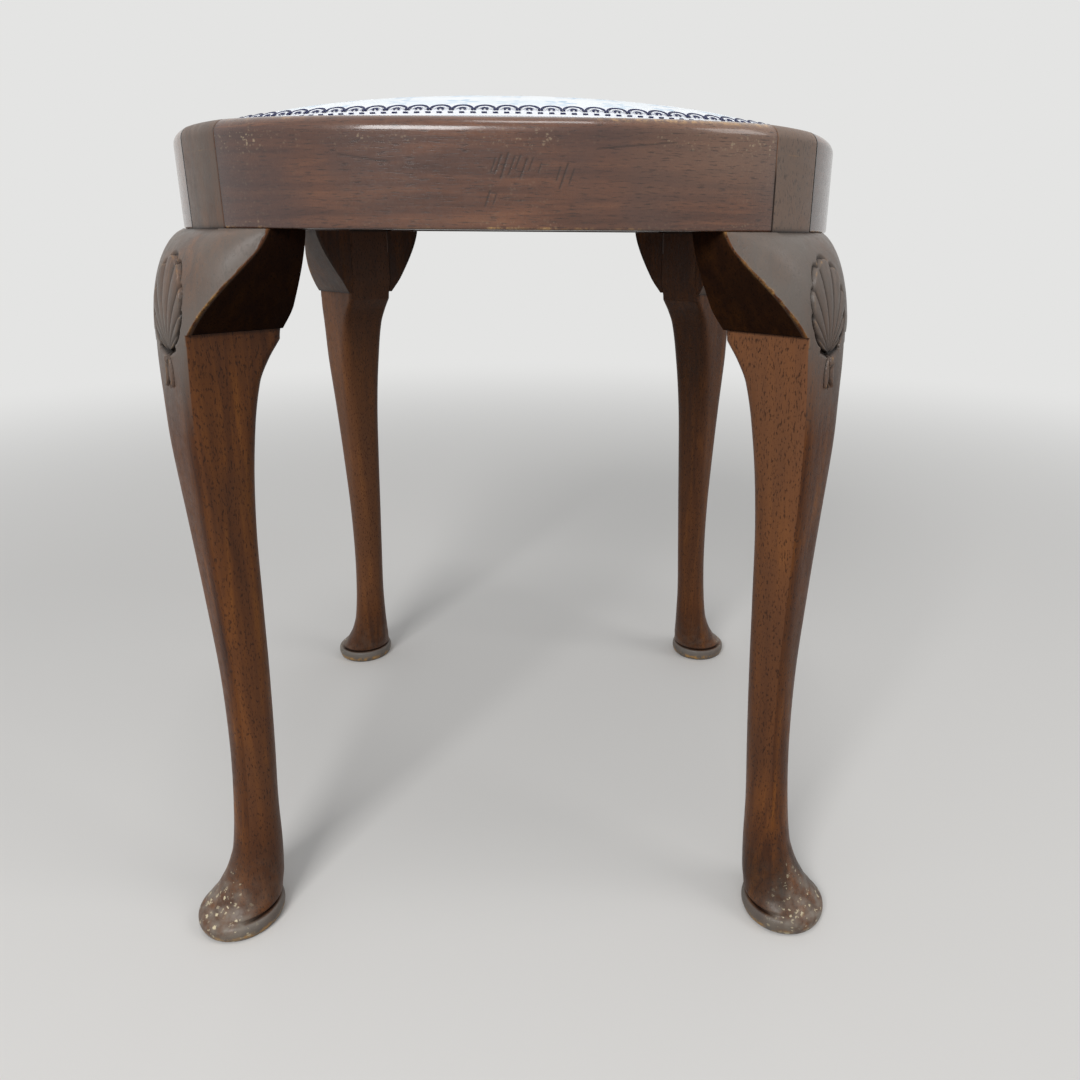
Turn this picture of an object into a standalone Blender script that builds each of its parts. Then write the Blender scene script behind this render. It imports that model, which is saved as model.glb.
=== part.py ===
"""Dressing stool with four cabriole legs, a bowed seat frame and a drop-in upholstered seat.

Metres, +Z up. The origin is on the floor under the middle of the seat, and the front faces -Y.
The stool repeats every quarter turn. A leg, its ears and its glue block are modelled in a corner
frame, whose +X runs outwards through the leg, and a rail in its own frame, whose +X runs outwards
through its middle. Both are then turned into place about Z.
"""

import math

import bmesh
import bpy
from mathutils import Matrix, Vector

# Driving dimensions of the seat frame
RAIL_TOP = 0.457
RAIL_HEIGHT = 0.050
RAIL_THICKNESS = 0.028
RAIL_ROUNDING = 0.007
RAIL_EASING = 0.0008
PLAN_HALF_WIDTH = 0.193
PLAN_SQUARENESS = 2.6
LIP_WIDTH = 0.016
REBATE_DEPTH = 0.014

# Driving dimensions of the leg
POST_WIDTH = 0.038
POST_DEPTH = 0.028
KNEE_BULGE = 0.0265
KNEE_DROP = 0.055
KNEE_FULLNESS = 4.0
PAD_RADIUS = 0.0251
PAD_OFFSET = 0.030
PAD_HEIGHT = 0.046
ANKLE_HEIGHT = 0.112
ANKLE_WIDTH = 0.0248

# Driving dimensions of the ears
EAR_SPAN = 0.048
EAR_DROP = 0.049
EAR_FOOT = 0.0015

# Tenons, glue blocks and screws
TENON_LENGTH = 0.011
TENON_THICKNESS = 0.010
TENON_HEIGHT = 0.022
BLOCK_DEPTH = 0.020
BLOCK_HEIGHT = 0.026
BLOCK_SEAT_CLEARANCE = 0.004
SCREW_SPREAD = 0.042
SCREW_LENGTH = 0.026
SCREW_SHANK = 0.0045
SCREW_HEAD = 0.0085

# Drop-in seat
SEAT_CLEARANCE = 0.001
SEAT_RAIL_WIDTH = 0.038
SEAT_RAIL_THICKNESS = 0.011
SEAT_LAP = 0.030
COVER_THICKNESS = 0.0012
COVER_DRAW_IN = 0.0006
COVER_SLACK = 0.0006
RIM_LIFT = 0.0005
CROWN = 0.0225
CROWN_FULLNESS = 2.4
CROWN_SHOULDER = 0.75
WEB_WIDTH = 0.040
WEB_PITCH = 0.074
WEB_THICKNESS = 0.0012
WEB_EDGE = 0.006
HESSIAN_THICKNESS = 0.0009
DUST_THICKNESS = 0.0006
DUST_EDGE = 0.004
BRAID_WIDTH = 0.011
BRAID_EDGE = 0.0012
BRAID_THICKNESS = 0.0012

# Gap left between faces that meet, and the fit of a tenon or screw in its hole
JOINT_GAP = 0.0003

# Fineness of the facets
LEG_POINTS = 20
RAIL_STEPS = 20
SEAT_POINTS = 48
QUARTER = math.pi / 2

# Heights and radii that follow from them
rail_bottom = RAIL_TOP - RAIL_HEIGHT
ledge = RAIL_TOP - REBATE_DEPTH
half_post = POST_WIDTH / 2


def superellipse(angle, power):
    """Radius of the unit superellipse in a direction."""
    total = abs(math.cos(angle)) ** power + abs(math.sin(angle)) ** power
    return total ** (-1 / power)


def plan_point(angle, half_width):
    """Point of the stool's bowed plan outline, drawn in to a half width."""
    radius = half_width * superellipse(angle, PLAN_SQUARENESS)
    return Vector((radius * math.cos(angle), radius * math.sin(angle)))


def corner_radius(half_width):
    return plan_point(QUARTER / 2, half_width).length


def corner_angle(half_width, offset):
    """Angle past the corner at which the outline is offset sideways from the corner's middle plane."""
    low, high = 0.0, QUARTER / 2
    for _ in range(50):
        middle = (low + high) / 2
        point = plan_point(QUARTER / 2 + middle, half_width)
        sideways = point.length * math.sin(middle)
        low, high = (middle, high) if sideways < offset else (low, middle)
    return low


def corner_point(half_width, offset):
    """Point of the outline in the corner frame, at a sideways offset."""
    angle = math.copysign(corner_angle(half_width, abs(offset)), offset)
    radius = plan_point(QUARTER / 2 + abs(angle), half_width).length
    return Vector((radius * math.cos(angle), offset))


corner = corner_radius(PLAN_HALF_WIDTH)
post_inner = corner - POST_DEPTH


def srgb(hex_colour):
    """Linear colour from an sRGB hex value."""
    parts = [int(hex_colour[i : i + 2], 16) / 255 for i in (1, 3, 5)]
    linear = [p / 12.92 if p <= 0.04045 else ((p + 0.055) / 1.055) ** 2.4 for p in parts]
    return (*linear, 1.0)


def make_material(name, colour, roughness, metallic=0.0):
    material = bpy.data.materials.new(name)
    material.use_nodes = True
    shader = material.node_tree.nodes["Principled BSDF"]
    shader.inputs["Base Color"].default_value = srgb(colour)
    shader.inputs["Roughness"].default_value = roughness
    shader.inputs["Metallic"].default_value = metallic
    return material


def make_collection(name):
    collection = bpy.data.collections.new(name)
    bpy.context.scene.collection.children.link(collection)
    return collection


def add_object(name, mesh, collection, material=None, turn=0.0, parent=None):
    """Object in a collection, turned about Z and parented without moving."""
    obj = bpy.data.objects.new(name, mesh)
    collection.objects.link(obj)
    if material and not mesh.materials:
        mesh.materials.append(material)
    placed = Matrix.Rotation(turn, 4, "Z")
    if parent:
        obj.parent = parent
        obj.matrix_parent_inverse = Matrix.Translation(-parent.location)
    obj.matrix_basis = placed
    return obj


def make_cutter(name, mesh):
    cutter = add_object(name, mesh, cutters)
    cutter.hide_render = True
    cutter.display_type = "WIRE"
    return cutter


def loft(name, rings, smooth_angle=0.6):
    """Closed mesh through rings of equally many points, capped at both ends."""
    bm = bmesh.new()
    rows = [[bm.verts.new(point) for point in ring] for ring in rings]
    count = len(rows[0])
    for lower, upper in zip(rows, rows[1:]):
        for i in range(count):
            j = (i + 1) % count
            bm.faces.new((lower[i], lower[j], upper[j], upper[i]))
    bm.faces.new(list(reversed(rows[0])))
    bm.faces.new(rows[-1])
    return finish_mesh(name, bm, smooth_angle)


def finish_mesh(name, bm, smooth_angle=0.6):
    bmesh.ops.remove_doubles(bm, verts=bm.verts, dist=1e-6)
    bmesh.ops.dissolve_degenerate(bm, edges=bm.edges, dist=1e-6)
    bmesh.ops.recalc_face_normals(bm, faces=bm.faces)
    mesh = bpy.data.meshes.new(name)
    bm.to_mesh(mesh)
    bm.free()
    mesh.shade_smooth()
    mesh.set_sharp_from_angle(angle=smooth_angle)
    return mesh


def box(name, low, high):
    """Box between two corners."""
    bm = bmesh.new()
    size = [b - a for a, b in zip(low, high)]
    middle = [(a + b) / 2 for a, b in zip(low, high)]
    place = Matrix.Translation(middle) @ Matrix.Diagonal((*size, 1))
    bmesh.ops.create_cube(bm, size=1, matrix=place)
    return finish_mesh(name, bm)


def plate(name, outlines, low, high):
    """Flat plate between two heights, from closed outlines of which the later ones are holes."""
    curve = bpy.data.curves.new(name, "CURVE")
    curve.dimensions = "2D"
    curve.fill_mode = "BOTH"
    curve.extrude = (high - low) / 2
    for outline in outlines:
        spline = curve.splines.new("POLY")
        spline.points.add(len(outline) - 1)
        spline.use_cyclic_u = True
        for slot, point in zip(spline.points, outline):
            slot.co = (point[0], point[1], 0, 1)
    holder = add_object(name, curve, cutters)
    holder.matrix_basis = Matrix.Translation((0, 0, (low + high) / 2))
    return baked(holder)


def turned(name, profile, place, steps=16):
    """Solid turned about Z from a profile that runs down its outer side, then placed."""
    bm = bmesh.new()
    points = [bm.verts.new((radius, 0, height)) for radius, height in profile]
    for a, b in zip(points, points[1:]):
        bm.edges.new((a, b))
    mesh = bpy.data.meshes.new(name)
    bm.to_mesh(mesh)
    bm.free()
    holder = add_object(name, mesh, cutters)
    screw = holder.modifiers.new("turn", "SCREW")
    screw.steps = steps
    screw.render_steps = steps
    screw.use_merge_vertices = True
    screw.merge_threshold = 1e-5
    holder.matrix_basis = place
    return baked(holder)


def baked(holder):
    """Mesh of an object as evaluated, in world space. The object is removed."""
    bpy.context.view_layer.update()
    graph = bpy.context.evaluated_depsgraph_get()
    mesh = bpy.data.meshes.new_from_object(holder.evaluated_get(graph))
    mesh.transform(holder.matrix_world)
    bm = bmesh.new()
    bm.from_mesh(mesh)
    name = holder.name
    data = holder.data
    bpy.data.objects.remove(holder)
    if isinstance(data, bpy.types.Curve):
        bpy.data.curves.remove(data)
    return finish_mesh(name, bm)


def combined(name, mesh, others, operation):
    """Mesh after a Boolean with each of the other meshes in turn."""
    holder = add_object(name, mesh, cutters)
    tools = [make_cutter(f"{name}_{operation.lower()}_{i}", other) for i, other in enumerate(others)]
    for tool in tools:
        step = holder.modifiers.new(tool.name, "BOOLEAN")
        step.operation = operation
        step.object = tool
        step.solver = "EXACT"
    result = baked(holder)
    for tool in tools:
        bpy.data.objects.remove(tool)
    return result


def moved(mesh, place):
    copy = mesh.copy()
    copy.transform(place)
    return copy


# Rail: one bowed length between two posts, with a rounded top edge and a rebate for the seat


def rounding_arc(steps=4):
    """Inset and drop along the rounded top edge, from the outer face to the top."""
    for i in range(steps + 1):
        angle = QUARTER * i / steps
        yield RAIL_ROUNDING * (1 - math.cos(angle)), RAIL_ROUNDING * (1 - math.sin(angle))


def rail_profile():
    """Inset from the outer face and height of each point round the rail's section."""
    points = [(RAIL_EASING, rail_bottom), (0.0, rail_bottom + RAIL_EASING)]
    points += [(inset, RAIL_TOP - drop) for inset, drop in rounding_arc()]
    points += [(LIP_WIDTH - RAIL_EASING, RAIL_TOP), (LIP_WIDTH, RAIL_TOP - RAIL_EASING)]
    points += [(LIP_WIDTH, ledge), (RAIL_THICKNESS, ledge), (RAIL_THICKNESS, rail_bottom)]
    return points


def rail_rings():
    profile = rail_profile()
    widths = [PLAN_HALF_WIDTH - inset for inset, _ in profile]
    limits = [QUARTER / 2 - corner_angle(width, half_post + JOINT_GAP) for width in widths]
    rings = []
    for step in range(RAIL_STEPS + 1):
        share = 2 * step / RAIL_STEPS - 1
        ring = []
        for (_, height), width, limit in zip(profile, widths, limits):
            ring.append((*plan_point(share * limit, width), height))
        rings.append(ring)
    return rings


tenon_middle = corner - RAIL_THICKNESS / 2
tenon_foot = rail_bottom + (RAIL_HEIGHT - REBATE_DEPTH - TENON_HEIGHT) / 2


def tenon_box(name, grow, root):
    """Tenon on the +Y cheek of the post, in the corner frame, or the mortise when it grows."""
    half = TENON_THICKNESS / 2 + grow
    low = (tenon_middle - half, half_post - TENON_LENGTH - grow, tenon_foot - grow)
    high = (tenon_middle + half, half_post + root, tenon_foot + TENON_HEIGHT + grow)
    return box(name, low, high)


def make_rail_mesh():
    mesh = loft("rail", rail_rings())
    root = TENON_LENGTH
    at_start = moved(tenon_box("tenon", 0.0, root), Matrix.Rotation(-QUARTER / 2, 4, "Z"))
    flip = Matrix.Diagonal((1, -1, 1, 1))
    at_end = moved(at_start, flip)
    at_end.flip_normals()
    mesh = combined("rail_joined", mesh, [at_start, at_end], "UNION")
    holes = []
    for side in (-1, 1):
        hole = moved(screw_solid("pilot", JOINT_GAP, side), Matrix.Rotation(-side * QUARTER / 2, 4, "Z"))
        holes.append(hole)
    return combined("rail_drilled", mesh, holes, "DIFFERENCE")


# Leg: post, knee, shin and pad foot in one carved piece


def smooth_value(stations, height):
    """Cubic curve through stations of (height, value), with tangents from their neighbours."""
    last = len(stations) - 1
    index = 0
    while index < last - 1 and height > stations[index + 1][0]:
        index += 1
    (h0, v0), (h1, v1) = stations[index], stations[index + 1]

    def slope(i):
        before, after = stations[max(i - 1, 0)], stations[min(i + 1, last)]
        return (after[1] - before[1]) / (after[0] - before[0])

    span = h1 - h0
    t = (height - h0) / span
    rise = 3 * t * t - 2 * t**3
    start = (t - 2 * t * t + t**3) * span * slope(index)
    end = (t**3 - t * t) * span * slope(index + 1)
    return v0 * (1 - rise) + v1 * rise + start + end


knee_bottom = rail_bottom - KNEE_DROP
knee_depth = KNEE_BULGE + POST_DEPTH


def between(low, high, share):
    return low + (high - low) * share


# Shin from the foot up: height, outer face as a share of the knee's bulge, depth and width as shares
# of the way from the ankle to the knee, squareness of the section, 2 being round, and share of the
# knee's crown across the outer face
SHIN = (
    (PAD_HEIGHT, 1.12, 0.128, 0.288, 2.0, 0.0),
    (between(PAD_HEIGHT, ANKLE_HEIGHT, 0.41), 0.985, 0.03, 0.05, 2.0, 0.0),
    (ANKLE_HEIGHT, 0.875, 0.00, 0.00, 2.1, 0.0),
    (between(ANKLE_HEIGHT, knee_bottom, 0.20), 0.835, 0.01, 0.08, 2.5, 0.0),
    (between(ANKLE_HEIGHT, knee_bottom, 0.39), 0.885, 0.065, 0.24, 3.2, 0.0),
    (between(ANKLE_HEIGHT, knee_bottom, 0.60), 0.97, 0.165, 0.52, 4.0, 0.1),
    (between(ANKLE_HEIGHT, knee_bottom, 0.78), 1.04, 0.33, 0.85, 5.5, 0.35),
    (between(ANKLE_HEIGHT, knee_bottom, 0.91), 1.03, 0.50, 0.955, 9.0, 0.7),
    (between(ANKLE_HEIGHT, knee_bottom, 0.96), 1.015, 0.665, 1.0, 16.0, 0.85),
    (knee_bottom, 1.0, 0.875, 1.0, 30.0, 1.0),
)

# Pad foot from the floor up: height as a share of the foot's, middle as a share of the way from the
# shin's to the pad's, and share of the pad's radius. The dip is the groove above the disc.
PAD = (
    (0.00, 1.00, 0.900),
    (0.043, 1.00, 0.965),
    (0.109, 1.00, 1.000),
    (0.185, 1.00, 0.985),
    (0.228, 0.97, 0.930),
    (0.25, 0.93, 0.885),
    (0.283, 0.85, 0.885),
    (0.38, 0.625, 0.805),
    (0.50, 0.43, 0.745),
    (0.62, 0.28, 0.685),
    (0.76, 0.15, 0.633),
)

POST_SQUARENESS = 40.0


def knee_bulge(drop):
    """How far the knee stands out from the rail's face, a quarter ellipse down from the rail."""
    share = min(drop / KNEE_DROP, 1.0)
    return KNEE_BULGE * math.sqrt(1 - (1 - share) ** 2)


def knee_face(offset, drop):
    """Outer face of the knee and its ears, in the corner frame."""
    across = max(0.0, 1 - (abs(offset) / EAR_SPAN) ** KNEE_FULLNESS)
    return corner_point(PLAN_HALF_WIDTH, offset).x + knee_bulge(drop) * across


def section(outer, inner, width, squareness, height, crown=0.0):
    """Ring of a soft square section in the corner frame, whose outer face may share the knee's crown."""
    ring = []
    middle = (outer + inner) / 2
    for i in range(LEG_POINTS):
        angle = (i + 0.5) * 2 * math.pi / LEG_POINTS
        reach = superellipse(angle, squareness)
        out = reach * math.cos(angle)
        y = width / 2 * reach * math.sin(angle)
        fall = corner + KNEE_BULGE - knee_face(y, KNEE_DROP)
        x = middle + (outer - inner) / 2 * out - crown * fall * max(0.0, out)
        ring.append(Vector((x, y, height)))
    return ring


def faces_out(index):
    """Whether a point of a ring lies on the outer face, its two corners included."""
    angle = (index + 0.5) * 2 * math.pi / LEG_POINTS
    return math.cos(angle) > abs(math.sin(angle)) - 1e-6


def faced_section(face, inner, height):
    """Post section whose outer face follows a curve of the sideways offset."""
    ring = section(corner, inner, POST_WIDTH, POST_SQUARENESS, height)
    for i, point in enumerate(ring):
        if faces_out(i):
            point.x = face(point.y)
        else:
            point.x = min(point.x, face(point.y))
    return ring


def shin_faces(outer, depth):
    """Outer and inner face of the shin from its shares."""
    face = corner + KNEE_BULGE * outer
    return face, face - between(ANKLE_WIDTH, knee_depth, depth)


def foot_rings():
    shin_middle = sum(shin_faces(*SHIN[0][1:3])) / 2
    for height, middle_share, radius_share in PAD:
        middle = between(shin_middle, corner + PAD_OFFSET, middle_share)
        radius = PAD_RADIUS * radius_share
        yield section(middle + radius, middle - radius, 2 * radius, 2.0, PAD_HEIGHT * height)


def shin_rings():
    heights = []
    for (low, *_), (high, *_) in zip(SHIN, SHIN[1:]):
        heights += [low, (low + high) / 2]
    heights.append(SHIN[-1][0])
    columns = [[(row[0], row[k]) for row in SHIN] for k in range(1, 6)]
    for height in heights:
        outer, depth, wide, squareness, crown = (smooth_value(column, height) for column in columns)
        faces = shin_faces(outer, depth)
        width = between(ANKLE_WIDTH, POST_WIDTH, wide)
        yield section(*faces, width, squareness, height, crown)


def knee_rings(steps=7):
    """Sections from the foot of the ears up to the rail's underside, closer towards the top."""
    for i in range(1, steps + 1):
        drop = EAR_DROP * (1 - i / steps) ** 2
        yield faced_section(lambda y, d=drop: knee_face(y, d), post_inner, rail_bottom - drop)


def post_rings():
    """The post between the rails, cut to the rail's own section above the seat ledge."""
    for height in (rail_bottom + JOINT_GAP, ledge):
        yield faced_section(lambda y: corner_point(PLAN_HALF_WIDTH, y).x, post_inner, height)
    for inset, drop in rounding_arc():
        if not inset:
            yield lip_section(0.0, ledge)
        yield lip_section(inset, RAIL_TOP - drop)


def lip_section(inset, height):
    """Post section cut back to the lip that stands outside the seat."""
    ring = faced_section(lambda y: corner_point(PLAN_HALF_WIDTH - inset, y).x, post_inner, height)
    for point in ring:
        point.x = max(point.x, corner_point(PLAN_HALF_WIDTH - LIP_WIDTH, point.y).x)
    return ring


def make_leg_mesh():
    rings = [*foot_rings(), *shin_rings(), *knee_rings(), *post_rings()]
    mesh = loft("leg", rings)
    mortise = tenon_box("mortise", JOINT_GAP, TENON_LENGTH)
    opposite = moved(mortise, Matrix.Diagonal((1, -1, 1, 1)))
    opposite.flip_normals()
    return combined("leg_mortised", mesh, [mortise, opposite], "DIFFERENCE")


# Ears: brackets glued to the cheeks under the rails


def ear_curve(share):
    """Sideways reach and drop along the ear's lower edge, a cyma from the rail to the cheek."""
    foot = half_post + EAR_FOOT
    reach = EAR_SPAN - foot
    controls = ((EAR_SPAN, 0.0), (foot + 0.91 * reach, 0.245), (foot + 0.58 * reach, 0.55), (foot, 1.0))
    weights = (
        (1 - share) ** 3,
        3 * (1 - share) ** 2 * share,
        3 * (1 - share) * share**2,
        share**3,
    )
    offset = sum(w * c[0] for w, c in zip(weights, controls))
    drop = sum(w * c[1] for w, c in zip(weights, controls)) * EAR_DROP
    return offset, drop


def make_ear_mesh(side, levels=12, across=5):
    """Ear on the +Y cheek, or on the -Y cheek for a negative side."""
    start = half_post + JOINT_GAP
    rings = []
    for level in range(levels + 1):
        offset, drop = ear_curve(1 - level / levels)
        height = rail_bottom - JOINT_GAP - drop
        ring = []
        for i in range(across):
            y = start + (offset - start) * i / (across - 1)
            ring.append(Vector((knee_face(y, drop), side * y, height)))
        ring.append(Vector((post_inner, side * offset, height)))
        ring.append(Vector((post_inner, side * start, height)))
        rings.append(ring)
    return loft("ear", rings)


# Glue block: a segment that fits the bow of the rails behind each post, held by two screws

block_foot = ledge - BLOCK_SEAT_CLEARANCE - BLOCK_HEIGHT
rail_inside = PLAN_HALF_WIDTH - RAIL_THICKNESS
block_chord = corner_radius(rail_inside) - BLOCK_DEPTH


def block_outline(steps=24):
    """Plan of the block in the corner frame, from its straight face round the rails' inner bow."""
    fit = rail_inside - JOINT_GAP
    low, high = 0.0, rail_inside / 2
    for _ in range(50):
        middle = (low + high) / 2
        low, high = (middle, high) if corner_point(fit, middle).x > block_chord else (low, middle)
    points = []
    for i in range(steps + 1):
        y = low * (2 * i / steps - 1)
        x = corner_point(fit, y).x
        if abs(y) < half_post + JOINT_GAP:
            x = min(x, post_inner - JOINT_GAP)
        points.append((x, y))
    return points


def screw_solid(name, grow, side):
    """Countersunk screw through the block into the rail, in the corner frame, or its hole."""
    shank = SCREW_SHANK / 2 + grow
    head = SCREW_HEAD / 2 + grow
    cone = (SCREW_HEAD - SCREW_SHANK) / 2
    profile = [
        (0.0, grow),
        (head, grow),
        (shank, -cone),
        (shank, -SCREW_LENGTH + cone - grow),
        (0.0, -SCREW_LENGTH - grow),
    ]
    middle = block_foot + BLOCK_HEIGHT / 2
    turn = Matrix.Rotation(-QUARTER, 4, "Y")
    place = Matrix.Translation((block_chord, side * SCREW_SPREAD, middle)) @ turn
    return turned(name, profile, place)


def make_block_mesh():
    mesh = plate("block", [block_outline()], block_foot, block_foot + BLOCK_HEIGHT)
    holes = [screw_solid("screw_hole", JOINT_GAP, side) for side in (-1, 1)]
    return combined("block_drilled", mesh, holes, "DIFFERENCE")


# Drop-in seat: halved frame, webbing, hessian, stuffing, cover, braid and dust cover

seat_edge = PLAN_HALF_WIDTH - LIP_WIDTH - SEAT_CLEARANCE
frame_edge = seat_edge - COVER_THICKNESS - COVER_DRAW_IN - COVER_SLACK
frame_inside = frame_edge - SEAT_RAIL_WIDTH
frame_bottom = ledge + JOINT_GAP
frame_top = frame_bottom + SEAT_RAIL_THICKNESS
web_low = frame_top + JOINT_GAP
web_high = web_low + WEB_THICKNESS + JOINT_GAP
hessian_low = web_high + WEB_THICKNESS + JOINT_GAP
stuffing_low = hessian_low + HESSIAN_THICKNESS + JOINT_GAP
rim = RAIL_TOP + RIM_LIFT


def ring_sector(limit, steps=12):
    """Plan of a length of the seat frame, centred on +X and ending a lap's angle from it."""
    angles = [limit * (2 * i / steps - 1) for i in range(steps + 1)]
    outer = [plan_point(angle, frame_edge) for angle in angles]
    inner = [plan_point(angle, frame_inside) for angle in reversed(angles)]
    return outer + inner


def make_seat_rail_mesh(lap_below):
    """Seat frame rail halved at both ends, whose lower or upper half laps the next rail."""
    middle = (frame_bottom + frame_top) / 2
    lap = SEAT_LAP / 2 / corner_radius(frame_edge)
    gap = JOINT_GAP / corner_radius(frame_inside)
    core = plate("core", [ring_sector(QUARTER / 2 - lap - gap)], frame_bottom, frame_top)
    low, high = (frame_bottom, middle - JOINT_GAP / 2) if lap_below else (middle + JOINT_GAP / 2, frame_top)
    laps = plate("laps", [ring_sector(QUARTER / 2 + lap - gap)], low, high)
    return combined("seat_rail", core, [laps], "UNION")


def strap_length(offset):
    """Half length of a webbing strap that ends on the seat frame."""
    reach = frame_edge - WEB_EDGE
    far = abs(offset) + WEB_WIDTH / 2
    return reach * (1 - (far / reach) ** PLAN_SQUARENESS) ** (1 / PLAN_SQUARENESS)


def make_strap_mesh(offset, low):
    """Strap along X at a sideways offset."""
    half = strap_length(offset)
    return box(
        "strap",
        (-half, offset - WEB_WIDTH / 2, low),
        (half, offset + WEB_WIDTH / 2, low + WEB_THICKNESS),
    )


def plan_ring(half_width, height):
    step = 2 * math.pi / SEAT_POINTS
    return [(*plan_point(i * step, half_width), height) for i in range(SEAT_POINTS)]


def crown_height(half_width, drop=0.0):
    """Height of the crowned seat over a ring of its plan, or of a layer that lies a drop below."""
    share = half_width / (seat_edge - drop)
    return rim - drop + CROWN * (1 - share**CROWN_FULLNESS) ** CROWN_SHOULDER


DOME_SHARES = (1.0, 0.992, 0.975, 0.95, 0.90, 0.82, 0.70, 0.55, 0.38, 0.20, 0.06)


def crown_rings(drop, widest=1.0):
    """Rings over the crown of a layer that lies a drop below the seat's top, from its edge to its middle."""
    for share in DOME_SHARES:
        if share <= widest:
            half_width = (seat_edge - drop) * share
            yield plan_ring(half_width, crown_height(half_width, drop))


def side_rings(edge):
    """Side of the cover from its foot, drawn in a little half way up to the rim."""
    yield plan_ring(edge, frame_bottom)
    yield plan_ring(edge - COVER_DRAW_IN, (frame_bottom + rim) / 2)


def make_cover_mesh():
    inside = [*side_rings(seat_edge - COVER_THICKNESS), *crown_rings(COVER_THICKNESS)]
    outside = [*side_rings(seat_edge), *crown_rings(0.0)]
    return loft("seat_cover", [*reversed(inside), *outside], smooth_angle=1.2)


def make_stuffing_mesh():
    """Stuffing between the hessian and the cover, out to where the cover comes down on it."""
    drop = COVER_THICKNESS + JOINT_GAP
    widest = DOME_SHARES[3]
    rings = [plan_ring((seat_edge - drop) * widest, stuffing_low), *crown_rings(drop, widest)]
    return loft("stuffing", rings, smooth_angle=1.2)


def make_braid_mesh(steps=4):
    """Braid laid on the cover just inside its edge."""
    lift = JOINT_GAP + BRAID_THICKNESS
    inner, outer = [], []
    for i in range(steps + 1):
        half_width = seat_edge - BRAID_EDGE - BRAID_WIDTH * i / steps
        reach = BRAID_EDGE / 2
        fall = crown_height(half_width - reach) - crown_height(half_width + reach)
        out = Vector((fall, 2 * reach)).normalized()
        place = Vector((half_width, crown_height(half_width)))
        inner.append(place + out * JOINT_GAP)
        outer.append(place + out * lift)
    bm = bmesh.new()
    sections = [*inner, *reversed(outer)]
    rows = [[bm.verts.new(point) for point in plan_ring(*place)] for place in sections]
    for lower_row, upper_row in zip(rows, rows[1:] + rows[:1]):
        for i in range(SEAT_POINTS):
            j = (i + 1) % SEAT_POINTS
            bm.faces.new((lower_row[i], lower_row[j], upper_row[j], upper_row[i]))
    return finish_mesh("braid", bm)


def disc(name, half_width, low, high, steps=64):
    outline = [plan_point(2 * math.pi * i / steps, half_width) for i in range(steps)]
    return plate(name, [outline], low, high)


for existing in list(bpy.data.objects):
    bpy.data.objects.remove(existing)

stool = make_collection("dressing_stool")
cutters = make_collection("cutters")
cutters.hide_render = True

walnut = make_material("polished_walnut", "#6b4636", 0.38)
leg_wood = make_material("worn_walnut", "#6f3f22", 0.42)
inner_wood = make_material("bare_beech", "#b08a5c", 0.7)
steel = make_material("screw_steel", "#77726c", 0.4, 1.0)
jute = make_material("jute_webbing", "#8a7250", 0.9)
burlap = make_material("hessian", "#a58a5f", 0.95)
felt = make_material("stuffing_felt", "#d8cfbf", 0.95)
cotton = make_material("printed_cotton", "#f0f4f7", 0.85)
gimp = make_material("navy_gimp", "#5a5e80", 0.8)
cambric = make_material("black_cambric", "#26241f", 0.95)

frame_root = bpy.data.objects.new("stool_frame", None)
stool.objects.link(frame_root)
seat_root = bpy.data.objects.new("drop_in_seat", None)
seat_root.location = (0, 0, ledge)
stool.objects.link(seat_root)

SIDES = ("right", "back", "left", "front")
CORNERS = ("back_right", "back_left", "front_left", "front_right")

rail_mesh = make_rail_mesh()
leg_mesh = make_leg_mesh()
ear_meshes = {side: make_ear_mesh(side) for side in (-1, 1)}
block_mesh = make_block_mesh()
screw_meshes = {side: screw_solid("screw", 0.0, side) for side in (-1, 1)}

for quarter, side in enumerate(SIDES):
    add_object(f"rail_{side}", rail_mesh, stool, walnut, quarter * QUARTER, frame_root)

for quarter, name in enumerate(CORNERS):
    turn = (quarter + 0.5) * QUARTER
    add_object(f"leg_{name}", leg_mesh, stool, leg_wood, turn, frame_root)
    add_object(f"glue_block_{name}", block_mesh, stool, inner_wood, turn, frame_root)
    for step, sign in enumerate((-1, 1)):
        beside = SIDES[(quarter + step) % 4]
        ear_name = f"ear_{name}_by_{beside}"
        add_object(ear_name, ear_meshes[sign], stool, leg_wood, turn, frame_root)
        screw_name = f"screw_{name}_by_{beside}"
        add_object(screw_name, screw_meshes[sign], stool, steel, turn, frame_root)

seat_rails = {below: make_seat_rail_mesh(below) for below in (True, False)}
for quarter, side in enumerate(SIDES):
    mesh = seat_rails[quarter % 2 == 1]
    add_object(f"seat_rail_{side}", mesh, stool, inner_wood, quarter * QUARTER, seat_root)

for row, word in enumerate(("first", "middle", "last")):
    offset = (row - 1) * WEB_PITCH
    across = make_strap_mesh(offset, web_low)
    add_object(f"webbing_across_{word}", across, stool, jute, 0.0, seat_root)
    along = make_strap_mesh(offset, web_high)
    add_object(f"webbing_along_{word}", along, stool, jute, QUARTER, seat_root)

hessian = disc("hessian", frame_edge - WEB_EDGE / 2, hessian_low, hessian_low + HESSIAN_THICKNESS)
add_object("hessian", hessian, stool, burlap, 0.0, seat_root)
add_object("seat_stuffing", make_stuffing_mesh(), stool, felt, 0.0, seat_root)
add_object("seat_cover", make_cover_mesh(), stool, cotton, 0.0, seat_root)
add_object("gimp_braid", make_braid_mesh(), stool, gimp, 0.0, seat_root)
dust_edge = rail_inside - DUST_EDGE
dust_high = frame_bottom - JOINT_GAP
dust = disc("dust_cover", dust_edge, dust_high - DUST_THICKNESS, dust_high)
add_object("dust_cover", dust, stool, cambric, 0.0, seat_root)
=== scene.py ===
import math

import bmesh
import bpy
import numpy as np
from mathutils import Matrix, Vector


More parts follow.
